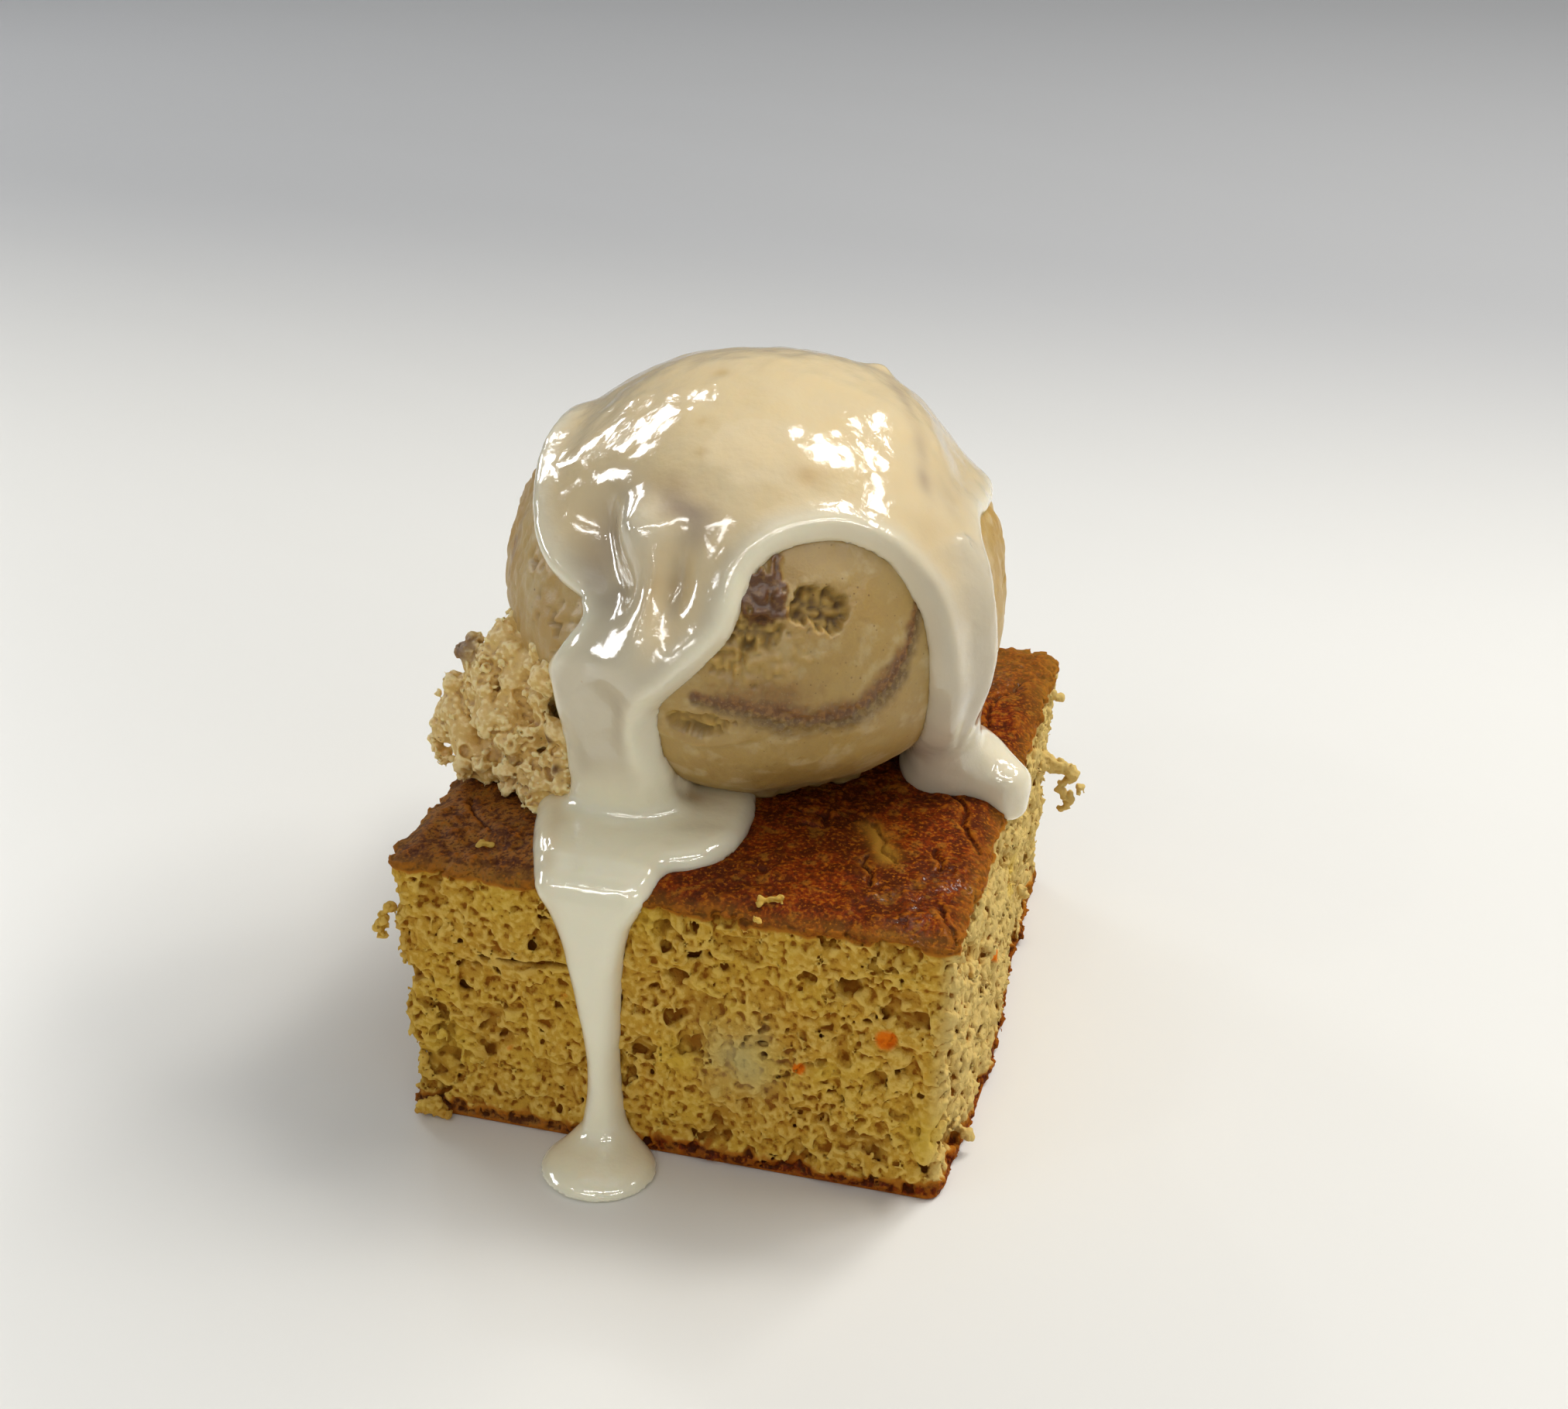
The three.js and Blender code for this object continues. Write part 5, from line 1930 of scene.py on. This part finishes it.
@dataclass(frozen=True)
class CakeFinish:
    """Golden crumb with painted highlight on its bumps, painted shade that deepens it to amber in its voids, and
    painted light paling its right side, under a browned, speckled, partly glazed crust with painted sheen to its
    left, painted highlight on its raised grain and painted shade in its creases.
    """

    face: Color = (0.555, 0.313, 0.039)
    # Painted shade in the crumb's voids and between its bumps.
    void_shade: Color = (0.25, 0.076, 0.003)
    # Painted highlight on the crumb's bumps.
    tip_highlight: Color = (0.75, 0.51, 0.122)
    # Painted light: the paler colour of the right side face.
    dry: Color = (0.64, 0.48, 0.18)
    pale: Color = (0.53, 0.46, 0.20)
    yolk: Color = (0.70, 0.47, 0.05)
    fleck: Color = (0.75, 0.17, 0.004)
    edge: Color = (0.42, 0.15, 0.012)
    brown: Color = (0.205, 0.028, 0.0009)
    dark: Color = (0.062, 0.011, 0.0007)
    # Painted sheen: the crust turns towards this colour on its left.
    grey: Color = (0.31, 0.118, 0.018)
    crust_speck: Color = (0.43, 0.125, 0.005)
    bare: Color = (0.36, 0.175, 0.019)
    blotch: Color = (0.50, 0.24, 0.016)
    spice: Color = (0.2, 0.08, 0.012)

    def make(self, effects: Effects) -> Material:
        """Builds the material.

        Args:
            effects: The shared groups.

        Returns:
            The material.
        """
        material, graph = new_material("cake")
        place = graph.place()
        grain = effects.grain.use(graph, {"Place": place, "Coarse": 0.8, "Fine": 0.28})
        tone, height = grain.outputs["Tone"], grain.outputs["Height"]
        patches = graph.noise(place, 9.0, 3)
        crest, mottle = graph.mask("crest"), graph.noise(place, 0.5, 4)
        # Painted highlight: bumps that stand out of the crumb are paler, broken up by noise.
        uneven = graph.lift(crest, mottle, 0.7)
        crumb = graph.tint(self.face, self.tip_highlight, graph.rise(uneven, 0.84, 1.2), 0.8)
        crumb = graph.tint(crumb, self.yolk, graph.rise(patches, 0.4, 0.7), 0.3)
        blotch = graph.noise(place, 2.2, 4)
        crumb = graph.tint(crumb, self.blotch, graph.rise(blotch, 0.5, 0.66), 0.35)
        # Painted light: the right side face is paler.
        crumb = graph.tint(crumb, self.dry, graph.mask("dry"), 0.8)
        # Painted shade: pores, caves and the low places between bumps turn dark amber.
        deep_shade = graph.times(graph.rise(uneven, 0.82, 0.42), 0.94)
        deep_shade = graph.math("MAXIMUM", graph.times(graph.mask("hollow"), 0.9), deep_shade)
        crumb = graph.blend(deep_shade, crumb, self.void_shade)
        crumb = graph.tint(crumb, self.pale, graph.mask("pale"), 0.7)
        crumb = graph.tint(crumb, self.yolk, graph.mask("yolk"), 0.5)
        crumb = graph.blend(graph.mask("fleck"), crumb, self.fleck)
        spice = effects.specks.use(graph, {"Place": place, "Cell": 1.5, "Size": 0.2, "Cover": 0.35})
        crumb = graph.tint(crumb, self.spice, spice.outputs["Mask"], 0.6)
        place_x = graph.add("SeparateXYZ", {"Vector": place}).outputs["X"]
        # Painted sheen: the crust is greyer and lighter towards the left.
        sheen = graph.lift(graph.rise(place_x, 0.004, -0.026), patches, 0.5)
        crust = graph.blend(graph.rise(sheen, 0.3, 1.1), self.brown, self.grey)
        for color, value, low, high, share in (
            (self.dark, patches, 0.42, 0.62, 0.6),
            (self.dark, blotch, 0.52, 0.4, 0.75),
            (self.bare, blotch, 0.55, 0.66, 0.4),
            (self.dark, mottle, 0.5, 0.36, 0.8),
            (self.crust_speck, mottle, 0.53, 0.68, 0.7),
        ):
            crust = graph.tint(crust, color, graph.rise(value, low, high), share)
        pale = effects.specks.use(graph, {"Place": place, "Cell": 0.7, "Size": 0.36, "Cover": 0.4})
        crust = graph.tint(crust, self.crust_speck, pale.outputs["Mask"], 0.6)
        # Painted highlight on the crust's raised grain and painted shade in its creases.
        ridge_highlight = graph.times(graph.rise(crest, 0.56, 0.85), 0.5)
        crust = graph.blend(ridge_highlight, crust, self.crust_speck)
        crust = graph.tint(crust, self.dark, graph.rise(crest, 0.45, 0.15), 0.85)
        crust = graph.blend(graph.mask("bare"), crust, self.bare)
        toast = graph.lift(graph.mask("toast"), mottle, 0.3)
        color = graph.blend(graph.rise(toast, 0.2, 0.58), crumb, self.edge)
        color = graph.blend(graph.rise(toast, 0.55, 0.98), color, crust)
        glaze = graph.times(graph.mask("glaze"), graph.rise(tone, 0.3, 0.7))
        color = graph.tint(color, self.dark, glaze, 0.35)
        rough = graph.lift(0.85, toast, -0.2)
        fixed = {
            "Specular IOR Level": 0.06,
            "Subsurface Weight": 0.08,
            "Subsurface Radius": (1.0, 0.5, 0.16),
            "Subsurface Scale": 0.8 * MM,
            "Coat Weight": graph.times(glaze, 0.9),
            "Coat Roughness": 0.14,
        }
        shade(graph, color, rough, height, 0.26, fixed)
        return material


@dataclass(frozen=True)
class IceCreamFinish:
    """Beige ice cream with cinnamon specks, a speckled swirl, torn places and a sticky brown piece, and painted shade
    under the icing's arch, towards its bottom and in the torn places' gaps.
    """

    smooth: Color = (0.54, 0.375, 0.135)
    # Painted shade: the darker colour of the bare front under the icing's arch and towards its bottom.
    front: Color = (0.37, 0.232, 0.061)
    warm: Color = (0.50, 0.305, 0.085)
    haze: Color = (0.60, 0.47, 0.25)
    torn: Color = (0.53, 0.345, 0.086)
    # Painted shade in the gaps of the torn places.
    deep_shade: Color = (0.19, 0.10, 0.022)
    chunk: Color = (0.12, 0.041, 0.005)
    chunk_pale: Color = (0.21, 0.095, 0.014)
    speck: Color = (0.15, 0.065, 0.02)

    def make(self, effects: Effects) -> Material:
        """Builds the material.

        Args:
            effects: The shared groups.

        Returns:
            The material.
        """
        material, graph = new_material("ice_cream")
        place = graph.place()
        grain = effects.grain.use(graph, {"Place": place, "Coarse": 1.4, "Fine": 0.35})
        drift = graph.noise(place, 12.0, 2)
        color = graph.blend(graph.rise(drift, 0.35, 0.65), self.smooth, self.warm)
        across = graph.add("SeparateXYZ", {"Vector": place})
        # Painted shade: the bare front is darker from the middle rightwards, under the icing's arch, and darker
        # towards its bottom.
        color = graph.tint(color, self.front, graph.rise(across.outputs["X"], -0.02, -0.005), 0.5)
        color = graph.tint(color, self.front, graph.rise(across.outputs["Z"], 0.060, 0.048), 0.4)
        color = graph.tint(color, self.haze, graph.rise(graph.noise(place, 3.4, 5), 0.5, 0.68), 0.6)
        color = graph.tint(color, self.torn, grain.outputs["Tone"], 0.3)
        color = graph.blend(graph.mask("pit"), color, self.torn)
        # Painted shade in the gaps of the torn places.
        color = graph.blend(graph.mask("sunk"), color, self.deep_shade)
        spice = effects.spice.use(
            graph, {"Place": place, "Color": color, "Mask": graph.mask("swirl"), "Low Side": graph.mask("low_side")}
        )
        few = effects.specks.use(graph, {"Place": place, "Cell": 1.3, "Size": 0.17, "Cover": 0.45})
        many = effects.specks.use(graph, {"Place": place, "Cell": 0.8, "Size": 0.24, "Cover": 1.0})
        thick = graph.times(many.outputs["Mask"], graph.mask("speck"))
        specks = graph.times(graph.math("MAXIMUM", few.outputs["Mask"], thick), 0.6)
        color = graph.blend(specks, spice.outputs["Color"], self.speck)
        mottle = graph.noise(place, 0.9, 3)
        sticky = graph.blend(graph.rise(mottle, 0.44, 0.66), self.chunk, self.chunk_pale)
        color = graph.blend(graph.mask("chunk"), color, sticky)
        rough = graph.lift(0.46, graph.mask("chunk"), -0.04)
        rough = graph.lift(rough, graph.mask("pit"), 0.3)
        fixed = {"Subsurface Weight": 0.4, "Subsurface Radius": (1.0, 0.62, 0.3), "Subsurface Scale": 1.6 * MM}
        shade(graph, color, rough, grain.outputs["Height"], 0.09, fixed)
        return material


@dataclass(frozen=True)
class TornIceCreamFinish:
    """The same ice cream torn open: crumbly, paler on its tips as painted highlight and deeper in its gaps as painted
    shade.
    """

    face: Color = (0.735, 0.49, 0.142)
    # Painted highlight on the tips.
    tip_highlight: Color = (0.92, 0.72, 0.335)
    # Painted shade in the gaps.
    gap: Color = (0.46, 0.245, 0.056)
    speck: Color = (0.16, 0.07, 0.03)

    def make(self, effects: Effects) -> Material:
        """Builds the material.

        Args:
            effects: The shared groups.

        Returns:
            The material.
        """
        material, graph = new_material("torn_ice_cream")
        place = graph.place()
        grain = effects.grain.use(graph, {"Place": place, "Coarse": 0.7, "Fine": 0.25})
        crest = graph.mask("crest")
        uneven = graph.lift(crest, graph.noise(place, 0.6, 3), 0.6)
        # Painted highlight on tips that stand out, painted shade in the gaps between them.
        color = graph.blend(graph.rise(uneven, 0.77, 1.14), self.face, self.tip_highlight)
        color = graph.tint(color, self.gap, graph.rise(uneven, 0.72, 0.36), 0.85)
        spice = effects.spice.use(
            graph, {"Place": place, "Color": color, "Mask": graph.mask("brown"), "Low Side": 0.35}
        )
        specks = effects.specks.use(graph, {"Place": place, "Cell": 1.2, "Size": 0.18, "Cover": 0.4})
        color = graph.tint(spice.outputs["Color"], self.speck, specks.outputs["Mask"], 0.6)
        fixed = {"Subsurface Weight": 0.35, "Subsurface Radius": (1.0, 0.6, 0.28), "Subsurface Scale": 1.2 * MM}
        shade(graph, color, 0.6, grain.outputs["Height"], 0.12, fixed)
        return material


@dataclass(frozen=True)
class IcingFinish:
    """Glossy warm white icing, tan where it lies thin, with swirl and syrup showing through, duller on its lower
    film, and painted shade on the right run and in the hollows beside the nub.
    """

    thick: Color = (0.93, 0.87, 0.67)
    # Duller white on the lower film, and painted shade on the right run.
    dull_and_shade: Color = (0.64, 0.56, 0.405)
    thin: Color = (0.77, 0.615, 0.36)
    # Swirl showing through, and painted shade in the hollows beside the nub and on the right run.
    mauve_and_shade: Color = (0.34, 0.255, 0.20)
    amber: Color = (0.52, 0.31, 0.08)

    def make(self, effects: Effects) -> Material:
        """Builds the material.

        Args:
            effects: The shared groups.

        Returns:
            The material.
        """
        material, graph = new_material("icing")
        place = graph.place()
        grain = effects.grain.use(graph, {"Place": place, "Coarse": 2.6, "Fine": 1.1})
        mottle = graph.noise(place, 5.0, 2)
        thin = graph.times(graph.mask("thin"), graph.math("MULTIPLY_ADD", mottle, 0.7, 0.6))
        # Duller white on the lower film, and painted shade on the right run.
        color = graph.tint(self.thick, self.dull_and_shade, graph.mask("dull_and_shade"), 0.8)
        color = graph.blend(thin, color, self.thin)
        # Swirl showing through, and painted shade in the hollows beside the nub and on the right run.
        color = graph.tint(color, self.mauve_and_shade, graph.mask("mauve_and_shade"), 0.72)
        color = graph.tint(color, self.amber, graph.mask("amber"), 0.6)
        specks = effects.specks.use(graph, {"Place": place, "Cell": 3.4, "Size": 0.08, "Cover": 0.35})
        color = graph.tint(color, self.amber, specks.outputs["Mask"], 0.45)
        fixed = {
            "Subsurface Weight": 0.45,
            "Subsurface Radius": (1.0, 0.8, 0.55),
            "Subsurface Scale": 1.5 * MM,
            "Coat Weight": 0.5,
            "Coat Roughness": 0.03,
        }
        shade(graph, color, 0.11, grain.outputs["Height"], 0.12, fixed)
        return material


# ---- the stage ----


@dataclass(frozen=True)
class Camera:
    """The camera: where it stands in millimetres, its turns in degrees and its lens."""

    place: Triple = (73.7405, -269.3247, 192.8698)
    yaw: float = 14.45
    pitch: float = 27.37
    roll: float = 0.8
    lens: float = 50.171

    def add(self) -> None:
        """Makes the camera and puts it to use."""
        yaw, pitch, roll = (math.radians(angle) for angle in (self.yaw, self.pitch, self.roll))
        forward = Vector((-math.sin(yaw) * math.cos(pitch), math.cos(yaw) * math.cos(pitch), -math.sin(pitch)))
        level = Vector((math.cos(yaw), math.sin(yaw), 0))
        up = level.cross(forward)
        right = level * math.cos(roll) + up * math.sin(roll)
        up = up * math.cos(roll) - level * math.sin(roll)
        data = bpy.data.cameras.new("camera")
        data.lens = self.lens
        data.sensor_width = 36
        data.sensor_fit = "HORIZONTAL"
        data.clip_start, data.clip_end = 0.01, 30
        camera = bpy.data.objects.new("camera", data)
        turn = Matrix((right, up, -forward)).transposed().to_4x4()
        camera.matrix_world = Matrix.Translation(Vector(self.place) * MM) @ turn
        bpy.context.scene.collection.objects.link(camera)
        bpy.context.scene.camera = camera


@dataclass(frozen=True)
class Panel:
    """A soft rectangular light: which way it is from the object, how far off, its size and its power.

    mirrored is whether reflections show it, lights is whether it lights anything apart from them.
    """

    name: str
    azimuth: float
    elevation: float
    distance: float
    width: float
    height: float
    power: float
    color: Color
    mirrored: bool = True
    lights: bool = True

    def add(self, target: Vector) -> None:
        """Makes the light, turned to face a target.

        Args:
            target: The place that it faces.
        """
        a, e = math.radians(self.azimuth), math.radians(self.elevation)
        away = Vector((math.sin(a) * math.cos(e), -math.cos(a) * math.cos(e), math.sin(e)))
        data = bpy.data.lights.new(self.name, "AREA")
        data.shape = "RECTANGLE"
        data.size, data.size_y = self.width, self.height
        data.energy = self.power
        data.color = self.color
        light = bpy.data.objects.new(self.name, data)
        light.visible_glossy, light.visible_diffuse = self.mirrored, self.lights
        light.matrix_world = Matrix.Translation(
            target + away * self.distance
        ) @ away.to_track_quat("Z", "Y").to_matrix().to_4x4()
        bpy.context.scene.collection.objects.link(light)


@dataclass(frozen=True)
class Stage:
    """A plain pale floor that painted shade greys towards the back, soft panels, and surroundings that are bright in
    front and dim behind.
    """

    floor_color: Color = (0.80, 0.795, 0.765)
    # Painted shade: the floor's colour towards the back.
    floor_far_shade: Color = (0.47, 0.475, 0.485)
    floor_roughness: float = 0.45
    floor_size: float = 8.0
    near_light: Color = (0.53, 0.53, 0.51)
    far_light: Color = (0.13, 0.137, 0.147)
    brightest: Triple = (-0.12, -0.97, 0.21)
    aim: float = 60
    panels: tuple[Panel, ...] = (
        Panel("panel_right_a", 142, 60, 0.95, 0.18, 0.15, 1.8, WARM),
        Panel("panel_right_b", 148, 43, 0.95, 0.12, 0.08, 0.7, WARM),
        Panel("panel_right_c", 112, 48, 0.95, 0.44, 0.12, 3.4, WARM),
        Panel("panel_left_a", -124, 34, 1.05, 0.40, 0.10, 2.0, COOL, lights=False),
        Panel("panel_left_b", -125, 20, 1.05, 0.26, 0.12, 1.5, COOL),
        Panel("panel_left_c", -85, 24, 1.05, 0.42, 0.18, 3.4, COOL, lights=False),
        Panel("strip_left", -72, 20, 1.05, 0.20, 0.16, 1.9, COOL, lights=False),
        Panel("strip_front_a", 20, 58, 1.3, 1.3, 0.08, 6.2, SOFT, lights=False),
        Panel("strip_front_b", 48, 38, 1.3, 0.5, 0.08, 2.4, SOFT, lights=False),
        Panel("strip_front_c", -10, 38, 1.3, 0.5, 0.08, 2.4, SOFT, lights=False),
        Panel("spot_left", -144, 42, 1.1, 0.05, 0.05, 0.3, COOL),
        Panel("spot_front_a", -44, 42, 1.3, 0.06, 0.03, 0.3, SOFT),
        Panel("spot_front_b", 4, 43, 1.3, 0.03, 0.05, 0.25, SOFT),
        Panel("spot_front_c", 30, 64, 1.3, 0.07, 0.03, 0.3, SOFT),
        Panel("spot_over", 152, 67, 1.3, 0.10, 0.03, 0.4, SOFT),
        Panel("panel_above", 175, 82, 1.6, 1.2, 0.9, 2.0, (1.0, 0.99, 0.97)),
        Panel("key", 136, 46, 1.5, 0.6, 0.5, 6.0, (1.0, 0.985, 0.96), mirrored=False),
        Panel("spot_front_d", -8, 29, 1.3, 0.05, 0.03, 0.3, SOFT),
        Panel("spot_front_e", 15, 20, 1.3, 0.04, 0.04, 0.25, SOFT),
    )

    def add(self) -> None:
        """Makes the floor, the panels and the surroundings."""
        half = self.floor_size / 2
        mesh = bpy.data.meshes.new("floor")
        mesh.from_pydata([(-half, -half, 0), (half, -half, 0), (half, half, 0), (-half, half, 0)], [], [(0, 1, 2, 3)])
        floor = bpy.data.objects.new("floor", mesh)
        bpy.context.scene.collection.objects.link(floor)
        floor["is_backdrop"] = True
        material, graph = new_material("pale_floor")
        backward = graph.add("SeparateXYZ", {"Vector": graph.place()}).outputs["Y"]
        # Painted shade: the floor fades to the darker colour towards the back.
        color = graph.blend(graph.rise(backward, 0.12, 0.43), self.floor_color, self.floor_far_shade)
        shader = graph.add("BsdfPrincipled", {"Base Color": color, "Roughness": self.floor_roughness})
        graph.tree.links.new(shader.outputs["BSDF"], graph.add("OutputMaterial").inputs["Surface"])
        mesh.materials.append(material)
        target = Vector((0, 0, self.aim * MM))
        for panel in self.panels:
            panel.add(target)
        world = bpy.data.worlds.new("surroundings")
        world.use_nodes = True
        world.node_tree.nodes.clear()
        graph = Graph(world.node_tree)
        direction = graph.add("TexCoord").outputs["Generated"]
        toward = graph.add("VectorMath", {0: direction, 1: self.brightest}, operation="DOT_PRODUCT").outputs["Value"]
        light = graph.blend(graph.rise(toward, 0.05, 0.95), self.far_light, self.near_light)
        background = graph.add("Background", {"Color": light})
        graph.tree.links.new(background.outputs[0], graph.add("OutputWorld").inputs["Surface"])
        bpy.context.scene.world = world
        bpy.context.scene.view_settings.view_transform = "Standard"


# ---- everything ----


def corners(low: Vector, high: Vector) -> list[list[float]]:
    """A box as plain lists of numbers."""
    return [list(low), list(high)]


def main() -> None:
    """Builds the whole object and its stage."""
    logging.basicConfig(level=logging.INFO, format="%(message)s")
    Camera().add()
    Stage().add()
    effects = Effects.make()
    cake, scoop, lump, icing = Cake(), Scoop(), TornLump(), Icing()
    cake_finish = CakeFinish().make(effects)
    cake.build(cake_finish)
    LooseCrumbs().build(cake_finish)
    scoop.build(cake, IceCreamFinish().make(effects))
    lump.build(cake, scoop, TornIceCreamFinish().make(effects))
    icing.build(cake, scoop, IcingFinish().make(effects))
    boxes = {"cad": corners(CAD_LOW, CAD_HIGH), "visual": corners(*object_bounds())}
    log.info("boxes: %s", boxes)


if __name__ == "__main__":
    main()
